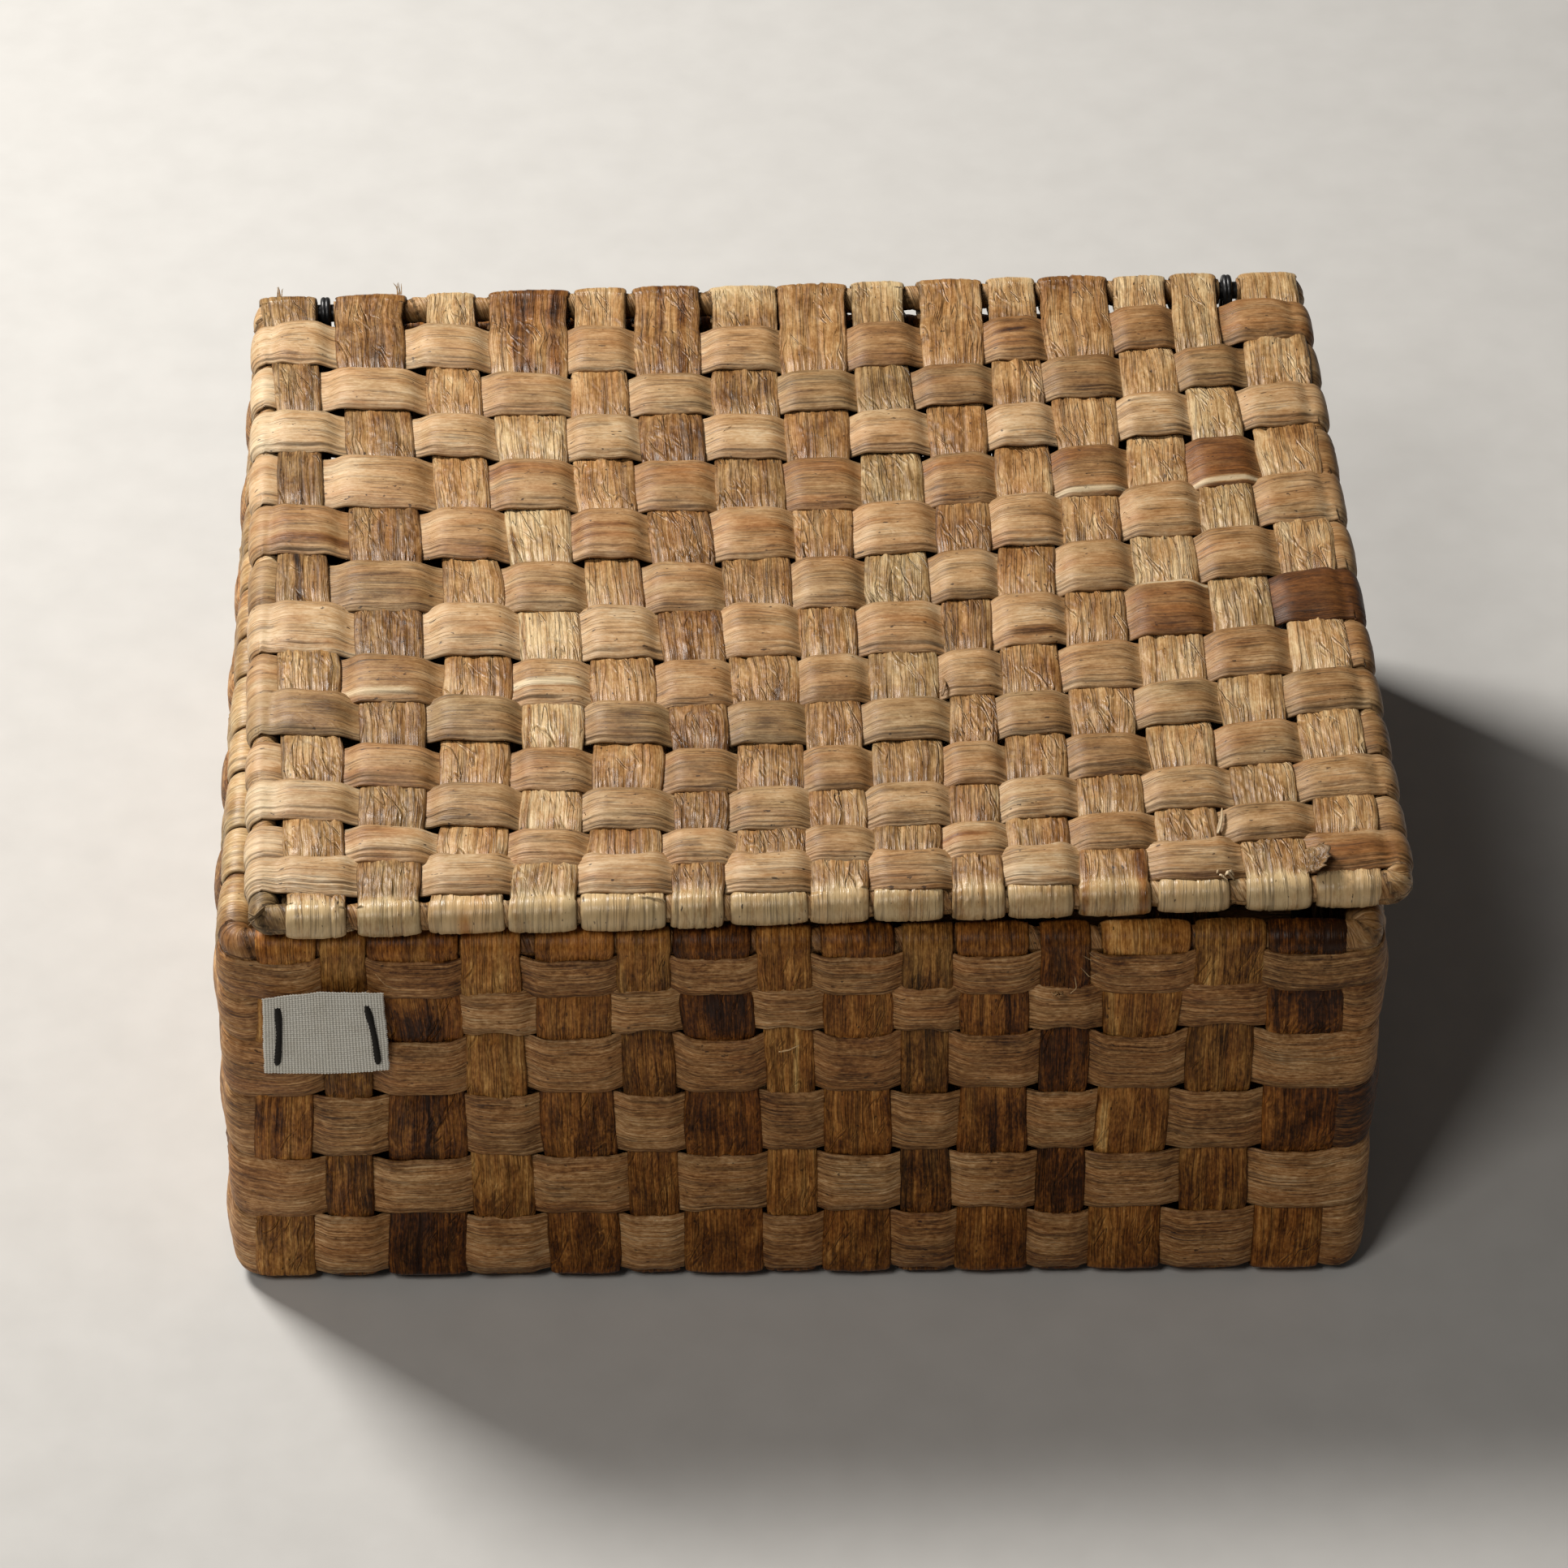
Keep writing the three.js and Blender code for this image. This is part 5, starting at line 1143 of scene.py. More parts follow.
def build_bands():
    rng = np.random.default_rng(23)
    R = 7.45
    s, p, n = ring_line(HX, HY, R, 0.4)
    total = s[-1] + np.linalg.norm(p[-1] - p[0])
    x, y = HX - R, HY - R
    arc = R * math.pi / 2
    s_left = x + arc  # start of the left wall
    s_front = s_left + 2 * y + arc
    s_right = s_front + 2 * x + arc
    s_back = s_right + 2 * y + arc
    corners = [x + arc / 2, s_left + 2 * y + arc / 2, s_front + 2 * x + arc / 2, s_right + 2 * y + arc / 2]
    ss, pp, nn = np.concatenate([s, [total]]), np.concatenate([p, p[:1]]), np.concatenate([n, n[:1]])

    for row in range(1, 7):
        seed = 1600 + row * 29
        lowz, highz = BANDS[row - 1]
        zm, full = (lowz + highz) / 2, (highz - lowz) / 2
        # every crossing as (count, from, to) in order of the ring, from the middle of the rear side
        cells = []
        for k in range(13):
            a, b = SIDE[12 - k]
            cells.append((44 + k, s_left + y - b, s_left + y - a))
        for i in range(15):
            knots = sorted(FRONT_COLUMNS[i] + [(112,) + FRONT[i]])
            a, b = [np.interp(zm, [v[0] for v in knots], [v[c] for v in knots]) for c in (1, 2)]
            cells.append((1 + i, s_front + x + a, s_front + x + b))
        for k in range(13):
            a, b = SIDE[k]
            cells.append((16 + k, s_right + y + a, s_right + y + b))
        for i in range(14, -1, -1):
            a, b = BACK[i]
            u0, u1 = s_back + x - b, s_back + x - a
            if (u0 + u1) / 2 >= total:
                u0, u1 = u0 - total, u1 - total
            cells.append((43 - i, u0, u1))
        cells.sort(key=lambda v: v[1])
        # the ends meet behind an upright near the middle of the rear side
        start = next(k for k in range(len(cells)) if cells[k][1] > -25 and (cells[k][0] + row) % 2 == 1)
        c0 = (cells[start][1] + cells[start][2]) / 2
        cells = cells[start:] + [(c, a + total, b + total) for c, a, b in cells[: start + 1]]
        out = [(c + row) % 2 == 0 for c, _, _ in cells]
        edges = [c0 - 12]
        for k in range(len(cells) - 1):
            a, b = cells[k][2], cells[k + 1][1]
            if b - a > 8:  # a corner belongs to the part that shows
                edges.append(b - 0.8 if out[k] else a + 0.8)
            else:
                edges.append((a + b) / 2)
        c1 = (cells[-1][1] + cells[-1][2]) / 2
        edges.append(c1 + 12)
        over = rng.uniform(1.9, 2.4, len(cells)) * (0.9 if row == 1 else 1.0)
        under = rng.uniform(0.85, 1.15, len(cells))
        w = Weave(edges, out, over, under)
        at = np.arange(c0 - 7, c1 + 7, 0.95)
        wrapped = np.mod(at, total)
        q = np.stack([np.interp(wrapped, ss, pp[:, k]) for k in (0, 1)], 1)
        m = unit(np.stack([np.interp(wrapped, ss, nn[:, k]) for k in (0, 1)], 1))
        near = np.zeros(len(at))
        for corner in corners:
            for turn in (0, total):
                near = np.maximum(near, np.exp(-(((at - corner - turn) / 10.0) ** 4)))
        H = w.at(at) * (1 - 0.85 * near) + 0.2 * near
        H = H - 1.35 * step(c1 - 8, c1 - 2, at)  # the end laps over the start, on the inside
        bulge = w.at(at, "bulge")
        narrow = {1: 0.95, 2: 1.08, 3: 1.04}.get(row, 1.03)
        half = full * 1.01 * (narrow + (1 - narrow) * blur(bulge, 0.95, 2.5)[: len(at)]) * (1 + 0.035 * noise(at / 21, 0, seed + 73))
        lat = 0.45 * noise(at / 50, 0, seed + 71) + 0.3 * noise(at / 17, 0, seed + 72)
        lat = lat + {1: 1.0, 2: -1.0, 3: 1.25}.get(row, 0.0) * 1.35 * blur(1 - w.at(at, "shown"), 0.95, 3.4)[: len(at)]
        # at the corners the bands lie edge to edge
        corner_low, corner_high = CORNERS[row - 1]
        half = half * (1 - near) + near * ((corner_high - corner_low) / 2 + 0.25 * noise(at / 6, 1, seed + 74))
        lat = lat * (1 - near) + near * ((corner_high + corner_low) / 2 - zm)
        P = np.stack([q[:, 0], q[:, 1], np.full(len(at), zm)], 1)
        N = np.stack([m[:, 0], m[:, 1], np.zeros(len(at))], 1)
        B = np.tile([0, 0, 1.0], (len(at), 1))
        crown = 0.38 + 1.45 * bulge * (1 - 0.6 * near)
        pin = w.at(at, "pinch") * (1 - near)
        light, red, grey = BAND_TONES[row - 1]
        tone = (light + 0.05 * noise(at / 70, row, 3), red + 0.05 * noise(at / 55, row, 4), grey)
        patches, lines = [], []
        where_x = lambda v: s_front + x + v  # place along the ring of x on the front wall
        if row == 4:
            patches = [(where_x(139), where_x(150) + 30, -0.30, 0.35, 0.0)]
        if row == 1:
            patches = [(where_x(-150), where_x(-112), 0.10, 0.0, 0.0), (where_x(118), where_x(150), -0.06, 0.0, 0.25)]
        strip("body_band_%d_woven" % row, at, P, N, B, H, lat, half, crown, "band", seed, tone, BAND, "basket_body", ["body_band_%d" % row], None, pin, patches=patches, lines=lines)


# ---------------------------------------------------------------- the filler wound on the rods
def wound(name, line, z, radius, pitch, seed, tones, body, nodes, place=None, hand=1):
    """A strip wound round and round a rod. line: places along the rod's middle; radius and tones: functions of the distance along."""
    line = np.asarray(line, float)
    s = np.concatenate([[0], np.cumsum(np.linalg.norm(np.diff(line, axis=0), axis=1))])
    at = np.arange(0, s[-1], 0.7)
    q = np.stack([np.interp(at, s, line[:, k]) for k in (0, 1)], 1)
    T = unit(np.gradient(q, axis=0))
    out = np.stack([T[:, 1], -T[:, 0]], 1)
    sides = 48
    th = np.linspace(0, 2 * math.pi, sides, endpoint=False)
    S, TH = at[:, None], th[None, :]
    phase = S / pitch + hand * TH / (2 * math.pi) + 0.10 * noise(S / 9, 0, seed)
    turn = np.floor(phase)
    frac = phase - turn
    R0 = radius(at)[:, None]
    rand = hashed(turn, turn * 0, seed + 5)
    saw = frac * (1 - step(0.93, 1.0, frac))
    fan = np.clip((R0 - 3.3) / 0.8, 0, 1)
    r = R0 + (0.30 + 0.35 * rand) * saw * (1 - 0.5 * fan) + 0.25 * np.sin(math.pi * frac) * (1 - fan) - 0.1
    v = frac * pitch
    u = TH * 4.2 + turn * 26.0
    r = r + 0.13 * noise(v / 1.2, u / 7, seed + 1) + 0.07 * noise(v / 0.5, u / 5, seed + 2) + 0.16 * noise(v / 3.4, u / 4, seed + 3)
    # painted shade at the seam where each turn meets the next
    shade_and_dark_lines = np.maximum(np.exp(-(((frac - 0.985) / 0.03) ** 2)), np.exp(-((frac / 0.025) ** 2))) * 0.9
    co = np.zeros((len(at), sides, 3))
    co[..., 0] = q[:, 0:1] + out[:, 0:1] * r * np.cos(TH)
    co[..., 1] = q[:, 1:2] + out[:, 1:2] * r * np.cos(TH)
    co[..., 2] = z + r * np.sin(TH)
    if place:
        co = place(co)
    n, m = len(at), sides
    i = np.arange(n - 1)[:, None] * m
    j, jj = np.arange(m)[None, :], ((np.arange(m) + 1) % m)[None, :]
    quads = np.stack([i + j, i + m + j, i + m + jj, i + jj], -1).reshape(-1, 4)
    caps = np.stack([np.arange(m), np.arange(m)[::-1] + (n - 1) * m])
    L, Rd, G = tones(at)
    tint = np.zeros((n, m, 3))
    tint[..., 0] = L[:, None] + 0.12 * (rand - 0.5)
    tint[..., 1] = Rd[:, None]
    tint[..., 2] = G[:, None]
    fib = np.zeros((n, m, 3))
    fib[..., 0], fib[..., 1], fib[..., 2] = u * 0.001, v * 0.001, rand * 9 + seed % 7
    return mesh_object(name, co.reshape(-1, 3), [quads, caps], {"fib": fib.reshape(-1, 3), "tint": tint.reshape(-1, 3), "shade_and_dark_lines": shade_and_dark_lines.reshape(-1)}, FILLER, body, nodes)


def tie_place(local):
    c, s = math.cos(LID_TURN), math.sin(LID_TURN)
    return LID_X + local * c - LID_RY * s, LID_Y + local * s + LID_RY * c


TIE_LOCAL = (-129.05, 127.5)
TIE_AT = [tie_place(v) for v in TIE_LOCAL]


def build_rods():
    for name, rx, ry, z, body, node, place in (
        ("body_rim_rod", RX, RY, RIM_Z, "basket_body", "body_rim_rod", None),
        ("body_base_rod", 150 - 5.4, 136 - 5.4, 5.3, "basket_body", "body_base_rod", None),
        ("lid_frame_rod", LID_RX, LID_RY, LID_Z, "lid", "lid_frame_rod", lid_place),
    ):
        s, p, n = ring_line(rx, ry, 6.0, 2.5)
        line = np.column_stack([p, np.full(len(p), z)])
        tube(name + "_round", line, ROD, STEEL, body, [node], closed=True, sides=28, place=place)
    for name, sx, sy in (("front_left", -1, -1), ("front_right", 1, -1), ("back_left", -1, 1), ("back_right", 1, 1)):
        zz = np.linspace(7.6, RIM_Z - 2.2, 24)
        line = np.column_stack([np.full(24, sx * 143.1), np.full(24, sy * 129.1), zz])
        tube("corner_post_" + name + "_round", line, ROD, STEEL, "basket_body", ["corner_post_" + name], sides=28)


def build_fillers():
    def ring_part(rx, ry, x_from, x_to):
        """From one bare place on the rear side, round the front, to the other."""
        s, p, n = ring_line(rx, ry, 2.6, 0.5)
        total = s[-1] + np.linalg.norm(p[-1] - p[0])
        a, b = -x_from, total - x_to
        at = np.arange(a, b, 0.45)
        return np.stack([np.interp(at, s, p[:, k]) for k in (0, 1)], 1)

    bare = 2.2
    front = ring_part(RX, RY, TIE_AT[0][0] - bare, TIE_AT[1][0] + bare)

    def body_radius(line):
        def f(at):
            d = np.linalg.norm(np.diff(line, axis=0), axis=1).mean()
            q = line[np.clip((at / d).astype(int), 0, len(line) - 1)]
            out_x = np.abs(q[:, 0]) - 138.6
            out_y = np.abs(q[:, 1]) - 124.8
            corner = np.clip(np.minimum(out_x + 3.0, out_y + 3.0) / 3.0, 0, 1)
            corner = corner * corner * (3 - 2 * corner)
            return 3.25 + 1.15 * corner
        return f

    def body_tones(line):
        def f(at):
            d = np.linalg.norm(np.diff(line, axis=0), axis=1).mean()
            q = line[np.clip((at / d).astype(int), 0, len(line) - 1)]
            left = step(60, -60, -q[:, 0] * -1)
            leftness = np.where(q[:, 0] < 0, 1.0, 0.0)
            right_end = np.where((q[:, 0] > 135) & (q[:, 1] < 0), 1.0, 0.0)
            return 0.42 - 0.06 * leftness + 0.16 * right_end, 0.20 + 0.12 * leftness - 0.12 * right_end, 0.02 + 0.0 * leftness
        return f

    wound("rim_filler_front_wound", front, RIM_Z, body_radius(front), 7.5, 2101, body_tones(front), "basket_body", ["rim_filler_front"])
    rear = np.stack([np.linspace(TIE_AT[1][0] - bare, TIE_AT[0][0] + bare, 500), np.full(500, RY)], 1)
    wound("rim_filler_rear_wound", rear, RIM_Z, lambda at: np.full(len(at), 3.2), 7.5, 2102, body_tones(rear), "basket_body", ["rim_filler_rear"])
    front = ring_part(LID_RX, LID_RY, TIE_LOCAL[0] - bare, TIE_LOCAL[1] + bare)

    def lid_tones(line):
        def f(at):
            d = np.linalg.norm(np.diff(line, axis=0), axis=1).mean()
            q = line[np.clip((at / d).astype(int), 0, len(line) - 1)]
            corner = np.where((q[:, 0] < -128) & (q[:, 1] < -112), 1.0, 0.0)
            return 0.60 - 0.16 * corner, 0.05 + 0 * corner, 0.05 + 0.6 * corner
        return f

    wound("lid_filler_front_wound", front, LID_Z, body_radius_for_lid(front), 7.0, 2103, lid_tones(front), "lid", ["lid_filler_front"], lid_place)
    rear = np.stack([np.linspace(TIE_LOCAL[1] - bare, TIE_LOCAL[0] + bare, 500), np.full(500, LID_RY)], 1)
    wound("lid_filler_rear_wound", rear, LID_Z, lambda at: np.full(len(at), 3.25), 7.0, 2104, lid_tones(rear), "lid", ["lid_filler_rear"], lid_place)


def body_radius_for_lid(line):
    def f(at):
        d = np.linalg.norm(np.diff(line, axis=0), axis=1).mean()
        q = line[np.clip((at / d).astype(int), 0, len(line) - 1)]
        out_x = np.abs(q[:, 0]) - 138.8
        out_y = np.abs(q[:, 1]) - 123.8
        corner = np.clip(np.minimum(out_x + 3.0, out_y + 3.0) / 3.0, 0, 1)
        corner = corner * corner * (3 - 2 * corner)
        return 3.25 + np.where((q[:, 0] < 0) & (q[:, 1] < 0), 0.45, 1.1) * corner
    return f


def build_ties():
    for k, side in enumerate(("left", "right")):
        x, y2 = TIE_AT[k]
        a, b = np.array([RY, RIM_Z]), np.array([y2, LID_Z])
        d = unit(b - a)
        perp = np.array([-d[1], d[0]])
        r = 3.75
        loop = []
        for t in np.linspace(0, 1, 26)[:-1]:
            loop.append(a + r * (perp * math.cos(math.pi * t) - d * math.sin(math.pi * t)))
        for t in np.linspace(0, 1, 14)[:-1]:
            loop.append(a - r * perp + (b - a) * t)
        for t in np.linspace(0, 1, 26)[:-1]:
            loop.append(b + r * (-perp * math.cos(math.pi * t) + d * math.sin(math.pi * t)))
        for t in np.linspace(0, 1, 14)[:-1]:
            loop.append(b + r * perp + (a - b) * t)
        loop = np.array(loop)
        n = len(loop)
        twice = np.concatenate([loop, loop, loop[: n // 5]])
        xs = x + np.linspace(-1.15, 1.15, len(twice))
        line = np.column_stack([xs, twice])
        tube("hinge_tie_%s_round" % side, line, 0.85, STEEL, "basket_body", ["hinge_tie_" + side], sides=16)


# ---------------------------------------------------------------- loose fibres
def along_points(points, n):
    """A smooth line through a few points."""
    pts = np.array(points, float)
    d = np.concatenate([[0], np.cumsum(np.linalg.norm(np.diff(pts, axis=0), axis=1))])
    fine = np.linspace(0, d[-1], n)
    line = np.stack([np.interp(fine, d, pts[:, k]) for k in range(3)], 1)
    for _ in range(max(1, n // 8)):
        line[1:-1] = 0.25 * line[:-2] + 0.5 * line[1:-1] + 0.25 * line[2:]
    return line


def fibres(name, strands, material, body):
    """strands: (points, half width, half thickness, flat direction, light, red, grey). Each thins out to a point at its far end."""
    verts, quads, ends, fib, tint = [], [], [], [], []
    offset, m, n = 0, 8, 22
    th = np.linspace(0, 2 * math.pi, m, endpoint=False)
    for k, (points, wide, thin, flat, light, red, grey) in enumerate(strands):
        line = along_points(points, n)
        T = unit(np.gradient(line, axis=0))
        A = np.array(flat, float)
        A = unit(A - T * (T @ A)[:, None])
        Bv = np.cross(T, A)
        s = np.linspace(0, 1, n)
        w = wide * np.sqrt(np.clip(1 - s ** 3, 0.02, 1)) * (1 + 0.2 * noise(s * 5, k, 61))
        h = thin * np.sqrt(np.clip(1 - s ** 4, 0.04, 1))
        verts.append((line[:, None] + A[:, None] * np.cos(th)[None, :, None] * w[:, None, None] + Bv[:, None] * np.sin(th)[None, :, None] * h[:, None, None]).reshape(-1, 3))
        i, j = np.arange(n - 1)[:, None] * m, np.arange(m)[None, :]
        jj = (j + 1) % m
        quads.append(np.stack([i + j, i + jj, i + m + jj, i + m + j], -1).reshape(-1, 4) + offset)
        ends.append(np.stack([np.arange(m)[::-1], np.arange(m) + (n - 1) * m]) + offset)
        f = np.zeros((n, m, 3))
        f[..., 0], f[..., 1], f[..., 2] = s[:, None] * 0.012, np.cos(th)[None, :] * wide * 0.001 + 0.01 * k, k * 0.7
        fib.append(f.reshape(-1, 3))
        tint.append(np.tile([light, red, grey], (n * m, 1)))
        offset += n * m
    co = np.concatenate(verts)
    return mesh_object(name, co, [np.concatenate(quads), np.concatenate(ends)], {"fib": np.concatenate(fib), "tint": np.concatenate(tint), "shade_and_dark_lines": np.zeros(len(co))}, material, body)


def crumpled_sheet(name, corner, across, along, lift, size, seed, tone, material, body, ragged=0.5, curl=0.8, place=None):
    """A small torn leaf of stalk: a thin sheet with a ragged far edge that curls up."""
    nu, nv = 44, 34
    u, v = np.meshgrid(np.linspace(0, 1, nu), np.linspace(0, 1, nv), indexing="ij")
    corner, across, along, lift = [np.array(a, float) for a in (corner, across, along, lift)]
    reach = size[0] * (0.72 + 0.28 * np.sin(np.pi * np.clip(v * 0.9 + 0.05, 0, 1)) + ragged * 0.22 * noise(v * 6.0, 0, seed) + ragged * 0.10 * noise(v * 17.0, 0, seed + 1))
    z = curl * step(0.55, 1.0, u) ** 1.5 + 0.22 * noise(u * 5, v * 4, seed + 2) + 0.14 * noise(u * 11, v * 9, seed + 3)
    rim = np.minimum(np.minimum(u, 1 - u) * size[0], np.minimum(v, 1 - v) * size[1])
    thick = 0.22 * np.sqrt(np.clip(rim / 0.4, 0.02, 1))
    base = corner + across * (u * reach)[..., None] + along * ((v + 0.05 * noise(u * 4, 0, seed + 4)) * size[1])[..., None]
    top, low_side = base + lift * (z + thick)[..., None], base + lift * (z - thick)[..., None]
    co = np.concatenate([top.reshape(-1, 3), low_side.reshape(-1, 3)])
    if place:
        co = place(co)
    idx = np.arange(nu * nv).reshape(nu, nv)
    f = np.stack([idx[:-1, :-1], idx[1:, :-1], idx[1:, 1:], idx[:-1, 1:]], -1).reshape(-1, 4)
    if np.cross(across, along) @ lift < 0:
        f = f[:, ::-1]
    off = nu * nv
    g = f[:, ::-1] + off
    ring = np.concatenate([idx[:, 0], idx[-1, 1:], idx[-2::-1, -1], idx[0, -2:0:-1]])
    nxt = np.roll(ring, -1)
    side = np.stack([nxt, ring, ring + off, nxt + off], -1)
    if np.cross(across, along) @ lift < 0:
        side = side[:, ::-1]
    dark = np.clip(0.9 * np.exp(-(((1 - u) * size[0] / 0.7) ** 2)) + 0.6 * np.exp(-(((1 - v) * size[1] / 0.5) ** 2)), 0, 0.9)
    fib = np.stack([v * size[1] * 0.001, u * size[0] * 0.001, np.full_like(u, seed * 0.1)], -1).reshape(-1, 3)
    tint = np.tile(np.array(tone, float), (nu * nv * 2, 1))
    return mesh_object(name, co, [f, g, side], {"fib": np.concatenate([fib, fib]), "tint": tint, "shade_and_dark_lines": np.concatenate([dark.ravel(), dark.ravel()])}, material, body)


def build_loose():
    rng = np.random.default_rng(31)

    def lid_point(x, y, z):
        return lid_place(np.array([float(x), float(y), float(z)]))

    def lid_strand(points, *rest):
        return ([lid_point(*p) for p in points], *rest)

    strands = []
    # shreds at the right edge of a front fold
    for k in range(11):
        x, y = 92.0 + 0.85 * k * rng.uniform(0.8, 1.1), -128.0 - 0.12 * k + rng.uniform(-0.5, 0.5)
        turn, far = rng.uniform(-0.75, 0.25), rng.uniform(2.0, 4.6)
        dx, dy = far * math.cos(turn), far * math.sin(turn)
        strands.append(lid_strand([(x, y, 132.6), (x + 0.45 * dx, y + 0.5 * dy, 133.5 + rng.uniform(0.0, 0.5)), (x + dx, y + dy - 0.25, 133.0 - 0.10 * max(0.0, x + dx - 99) ** 2)], rng.uniform(0.18, 0.62), 0.12, (0.2, 1, 0.4), 0.95, 0.0, 0.15))
    # a pulled edge beside the fourteenth and ninth strips
    strands.append(lid_strand([(100.2, -113.5, 133.2), (101.6, -108.5, 134.1), (102.2, -104.0, 133.8)], 0.55, 0.2, (1, 0, 0.4), 0.92, 0.0, 0.2))
    strands.append(lid_strand([(33.2, -55.0, 133.4), (34.2, -51.5, 134.6), (33.9, -48.0, 133.8)], 0.45, 0.2, (1, 0, 0.4), 0.60, 0.0, 0.2))
    # hairs that stick out behind the rear folds
    for x, y in ((-142.6, 134.3), (-108.6, 134.0)):
        for k in range(5):
            dx, dy, dz = rng.uniform(-1.6, 1.6), rng.uniform(0.2, 1.4), rng.uniform(0.8, 2.4)
            strands.append(lid_strand([(x + 0.3 * k, y - 1.5, 131.8), (x + 0.3 * k + dx * 0.4, y + dy * 0.3, 132.6 + dz * 0.3), (x + 0.3 * k + dx, y + dy, 131.8 + dz)], 0.14, 0.09, (1, 0, 0), 0.70, 0.0, 0.3))
    # frayed end at the front left corner
    for k in range(9):
        a = rng.uniform(-0.5, 1.2)
        strands.append(lid_strand([(-144.6, -130.2, 129.4 + 0.35 * k), (-147.0, -131.2 - 0.2 * k, 129.2 + 0.3 * k), (-148.4 - 0.5 * math.cos(a), -131.6 - 1.2 * rng.uniform(0, 1), 128.4 + 0.35 * k + math.sin(a))], rng.uniform(0.22, 0.5), 0.13, (0, 0.5, 1), 0.62, 0.0, 0.55))
    # a few fine hairs over the top
    for x, y in ((-62, -100), (52, -84), (88, 20), (-20, 60), (120, -40), (-95, 30)):
        lean = rng.uniform(-1, 1, 2)
        strands.append(lid_strand([(x, y, 134.0), (x + 1.5 * lean[0], y + 1.5 * lean[1], 135.2), (x + 3.4 * lean[0], y + 3.4 * lean[1], 135.0)], 0.11, 0.09, (1, 0, 0), 0.75, 0.0, 0.2))
    fibres("lid_loose_fibres", strands, WEFT, "lid")
    crumpled_sheet("lid_torn_leaf", (121.2, -131.4, 134.6), (0.93, 0.0, 0.30), (0.05, 1.0, -0.02), (-0.25, 0, 0.97), (6.6, 9.6), 515, (0.40, 0.06, 0.30), WARP, "lid", 0.75, 0.6, lid_place)

    strands = []
    hair = lambda *points: strands.append((list(points), 0.13, 0.09, (1, 0, 0), 0.95, 0.0, 0.4))
    hair((75.6, -139.2, 117.0), (74.0, -140.4, 119.0), (72.8, -140.8, 120.6))
    hair((73.6, -139.4, 116.8), (72.4, -140.4, 118.4), (71.2, -140.6, 119.4))
    hair((75.4, -138.9, 111.8), (73.2, -141.2, 112.6), (70.8, -141.6, 116.2))
    hair((68.6, -139.6, 105.6), (70.0, -141.4, 109.0), (69.4, -141.2, 113.0))
    # a small curled tuft above the second band
    for k in range(16):
        a, r = rng.uniform(0, 2 * math.pi), rng.uniform(0.4, 1.7)
        cx, cz = 65.4 + 0.9 * r * math.cos(a), 106.3 + 0.5 * r * math.sin(a)
        strands.append(([(65.4 + rng.uniform(-1.5, 1.5), -138.8, 105.2), (cx, -140.9 - 0.3 * rng.uniform(0, 1), cz), (cx + rng.uniform(-0.9, 0.9), -141.3, cz + rng.uniform(-0.9, 0.9))], rng.uniform(0.2, 0.45), 0.18, (rng.uniform(-1, 1), 0, 1), 0.70, 0.06, 0.1))
    # a fibre pulled loose on the first fold from the left, and a light scratch on the eighth upright
    strands.append(([(-109.2, -139.0, 113.6), (-106.5, -140.9, 111.4), (-103.2, -140.6, 109.8)], 0.16, 0.1, (0, 0, 1), 0.85, 0.0, 0.2))
    strands.append(([(-6.0, -138.4, 85.0), (-3.4, -138.8, 86.0), (-0.6, -138.4, 87.4)], 0.24, 0.12, (0, 0, 1), 0.80, 0.0, 0.4))
    fibres("wall_loose_fibres", strands, BAND, "basket_body")


# ---------------------------------------------------------------- the cloth label
LABEL_CORNERS = [(-138.3, 106.0), (-107.4, 107.9), (-106.5, 80.8), (-138.9, 80.0)]  # top left, top right, low right, low left
LABEL_Y = -139.55


def label_surface(u, v):
    """u to the right, v up, both from 0 to 1."""
    (x0, z0), (x1, z1), (x2, z2), (x3, z3) = LABEL_CORNERS
    x = (x3 * (1 - u) + x2 * u) * (1 - v) + (x0 * (1 - u) + x1 * u) * v
    z = (z3 * (1 - u) + z2 * u) * (1 - v) + (z0 * (1 - u) + z1 * u) * v
    z = z + v ** 2 * (1.15 * np.sin(np.pi * u) + 0.2 * np.sin(2 * np.pi * (u - 0.15)) + 0.10 * np.sin(5 * np.pi * u)) + (1 - v) * (0.25 * np.sin(2 * np.pi * u + 1) - 0.25 * np.sin(np.pi * u))
    y = LABEL_Y - 0.35 * np.sin(np.pi * u) * np.sin(np.pi * v) - 0.25 * np.sin(2.2 * np.pi * v + 0.4) * (0.4 + 0.6 * u) - 0.55 * (1 - np.minimum(u, 1 - u) * 8).clip(0, 1) ** 2 * -0.4
    return x, y, z


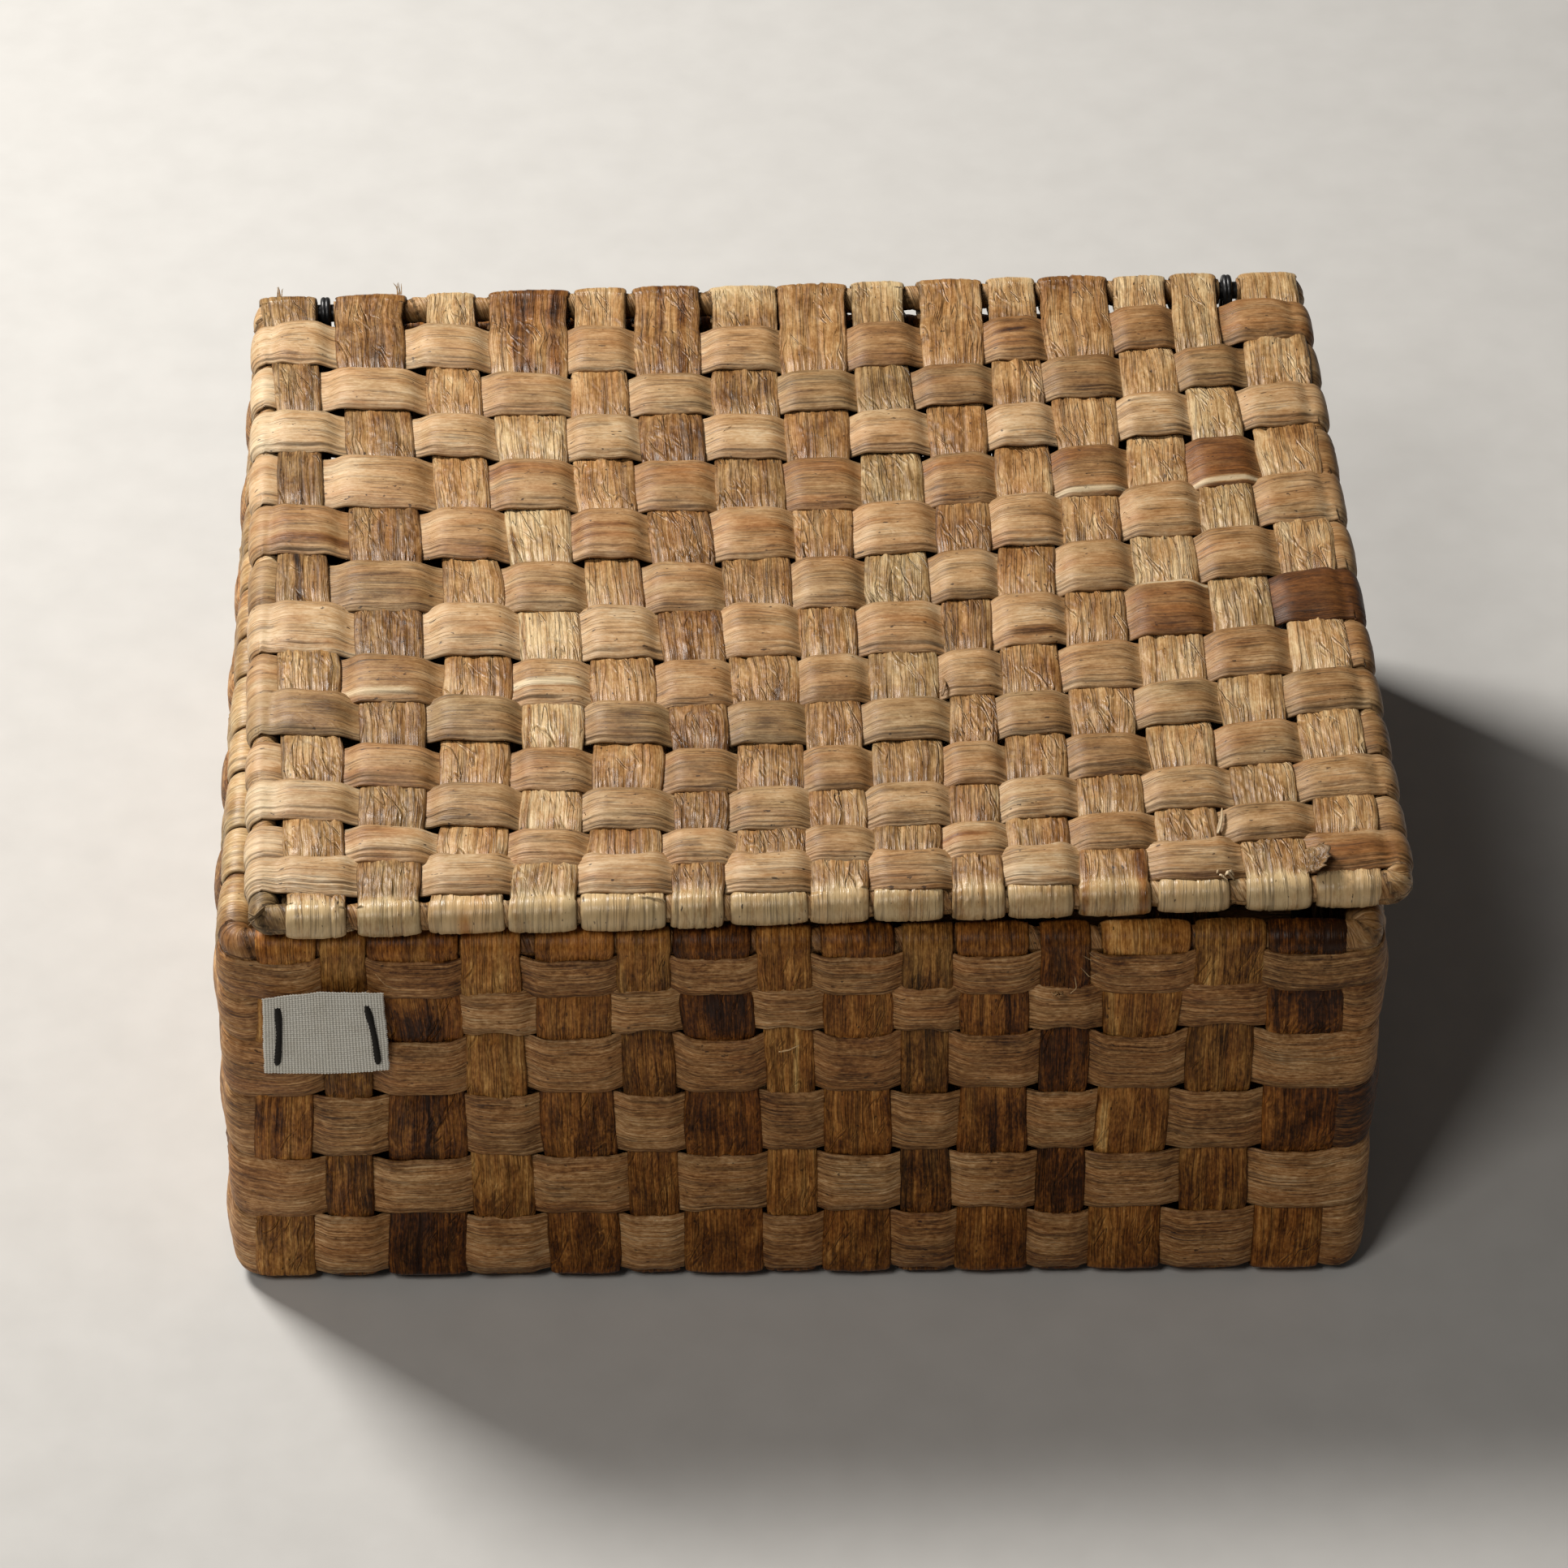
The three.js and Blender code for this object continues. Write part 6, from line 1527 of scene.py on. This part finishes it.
def build_label():
    nu, nv = 222, 190
    u, v = np.meshgrid(np.linspace(0, 1, nu), np.linspace(0, 1, nv), indexing="ij")
    x, y, z = label_surface(u, v)
    # plain weave: threads 0.8 and 0.7 mm apart, each going over and under
    a, b = u * 32.0 / 0.80, v * 27.0 / 0.70
    wa, wb = np.abs(np.sin(np.pi * a)), np.abs(np.sin(np.pi * b))
    odd = (np.floor(a) + np.floor(b)) % 2
    height = np.where(odd < 0.5, wa ** 0.7 * (0.4 + 0.6 * wb), wb ** 0.7 * (0.4 + 0.6 * wa))
    worn = 0.05 * noise(a / 3, b / 3, 77)
    rim = np.minimum(np.minimum(u, 1 - u) * 32, np.minimum(v, 1 - v) * 27)
    edge = np.sqrt(np.clip(rim / 0.35, 0, 1))
    # the cut edges are a little uneven, thread by thread
    near_side = np.exp(-np.minimum(u, 1 - u) * 32 / 0.5)
    near_end = np.exp(-np.minimum(v, 1 - v) * 27 / 0.5)
    x = x + near_side * np.sign(u - 0.5) * (0.16 * np.sin(2 * np.pi * b) + 0.16 * noise(b / 1.7, 0, 78))
    z = z + near_end * np.sign(v - 0.5) * (0.13 * np.sin(2 * np.pi * a) + 0.16 * noise(a / 1.7, 0, 79))
    front = y - (0.36 * height + 0.16 + worn) * edge
    back = y + 0.26 * edge
    co = np.concatenate([np.stack([x, front, z], -1).reshape(-1, 3), np.stack([x, back, z], -1).reshape(-1, 3)])
    idx = np.arange(nu * nv).reshape(nu, nv)
    f = np.stack([idx[:-1, :-1], idx[1:, :-1], idx[1:, 1:], idx[:-1, 1:]], -1).reshape(-1, 4)
    off = nu * nv
    g = f[:, ::-1] + off
    rim_idx = np.concatenate([idx[:, 0], idx[-1, 1:], idx[-2::-1, -1], idx[0, -2:0:-1]])
    nxt = np.roll(rim_idx, -1)
    side = np.stack([nxt, rim_idx, rim_idx + off, nxt + off], -1)
    # painted shade: darker where the threads dip, in the weave's hollows
    shade_and_dark_lines = np.clip((1 - height) * 1.35 - 0.1, 0, 1) * edge
    fib = np.stack([u * 0.032, v * 0.027, np.zeros_like(u)], -1).reshape(-1, 3)
    o = mesh_object("cloth_label_woven", co, [f, g, side], {"fib": np.concatenate([fib, fib]), "shade_and_dark_lines": np.concatenate([shade_and_dark_lines.ravel(), np.zeros(nu * nv)])}, CLOTH, "basket_body", ["cloth_label"])
    # a stitch of thick black thread near each side
    for name, (ua, va), (ub, vb) in (("left", (0.105, 0.13), (0.125, 0.86)), ("right", (0.915, 0.11), (0.855, 0.84))):
        k = 60
        t = np.linspace(0, 1, k)
        uu, vv = ua + (ub - ua) * t + 0.012 * np.sin(np.pi * t), va + (vb - va) * t
        x, y, z = label_surface(uu, vv)
        lift = np.where(t < 0.08, t / 0.08, np.where(t > 0.92, (1 - t) / 0.08, 1.0))
        lift = np.sqrt(np.clip(lift, 0, 1))
        line = np.stack([x, y + 0.55 - 1.15 * lift, z], 1)
        sides = 20
        th = np.linspace(0, 2 * math.pi, sides, endpoint=False)
        twist = np.cos(3 * (th[None, :] - t[:, None] * 19 * 1.9))
        radii = 0.80 + 0.10 * twist + 0.05 * noise(t[:, None] * 30, th[None, :], 91) + 0.10 * noise(t[:, None] * 6, 0, 92)
        fib = np.stack([np.broadcast_to(t[:, None] * 19, (k, sides)), np.broadcast_to(th[None, :] * 3 + t[:, None] * 60, (k, sides)), np.zeros((k, sides))], -1)
        tube("label_stitch_%s_twisted" % name, line, 0.7, THREAD, "basket_body", ["label_stitch_" + name], sides=sides, radii=radii, extra={"fib": fib.reshape(-1, 3)})


build_lid()
build_body()
build_bands()
build_rods()
build_fillers()
build_ties()
build_loose()
build_label()

# ---------------------------------------------------------------- floor, light and camera
bpy.ops.mesh.primitive_plane_add(size=8.0, location=(0, 0.8, -0.0002))
floor = bpy.context.object
floor.name = "studio_floor"
fm, fnt, fb = new_material("floor_paper")
fg = Graph(fnt)
fn = fg.noise(fg.add("ShaderNodeTexCoord").outputs["Object"], 60.0, 3.0, 0.5)
fg.put(fb.inputs["Base Color"], fg.ramp(fn, [(0.3, (0.50, 0.49, 0.475)), (0.7, (0.53, 0.52, 0.505))]))
fb.inputs["Roughness"].default_value = 0.9
floor.data.materials.append(fm)

world = bpy.data.worlds.new("studio")
bpy.context.scene.world = world
world.use_nodes = True
bg = world.node_tree.nodes["Background"]
bg.inputs["Color"].default_value = (1.0, 0.975, 0.94, 1)
bg.inputs["Strength"].default_value = 0.062


def area(name, position, target, size, power, colour):
    light = bpy.data.lights.new(name, "AREA")
    light.shape = "RECTANGLE"
    light.size, light.size_y = size
    light.energy = power
    light.color = colour
    o = bpy.data.objects.new(name, light)
    bpy.context.scene.collection.objects.link(o)
    p, q = np.array(position, float), np.array(target, float)
    back = unit(p - q)
    right = unit(np.cross([0, 0, 1.0], back))
    up = np.cross(back, right)
    o.matrix_world = Matrix([[right[0], up[0], back[0], p[0]], [right[1], up[1], back[1], p[1]], [right[2], up[2], back[2], p[2]], [0, 0, 0, 1]])
    return o


area("key", (-0.76, 0.60, 1.15), (0, 0, 0.08), (0.4, 0.4), 30.0, (1.0, 0.97, 0.92))
area("fill", (-0.75, -1.25, 1.75), (0, 0, 0.06), (0.6, 0.6), 15.0, (1.0, 0.96, 0.90))

F_PX, YAW, PITCH, ROLL = 8300.0, math.radians(1.4859), math.radians(40.2434), math.radians(0.5246)
CAM = np.array([-38.579, -1421.324, 1261.848]) * 0.001
forward = np.array([math.sin(YAW) * math.cos(PITCH), math.cos(YAW) * math.cos(PITCH), -math.sin(PITCH)])
right0 = np.array([math.cos(YAW), -math.sin(YAW), 0.0])
up0 = np.cross(right0, forward)
right = right0 * math.cos(ROLL) + up0 * math.sin(ROLL)
up = -right0 * math.sin(ROLL) + up0 * math.cos(ROLL)
camera = bpy.data.cameras.new("camera")
camera.sensor_width = 36.0
camera.lens = F_PX / 1932.0 * 36.0
camera.clip_start, camera.clip_end = 0.05, 50.0
cam = bpy.data.objects.new("camera", camera)
bpy.context.scene.collection.objects.link(cam)
cam.matrix_world = Matrix([[right[0], up[0], -forward[0], CAM[0]], [right[1], up[1], -forward[1], CAM[1]], [right[2], up[2], -forward[2], CAM[2]], [0, 0, 0, 1]])
bpy.context.scene.camera = cam
bpy.context.scene.view_settings.view_transform = "Standard"
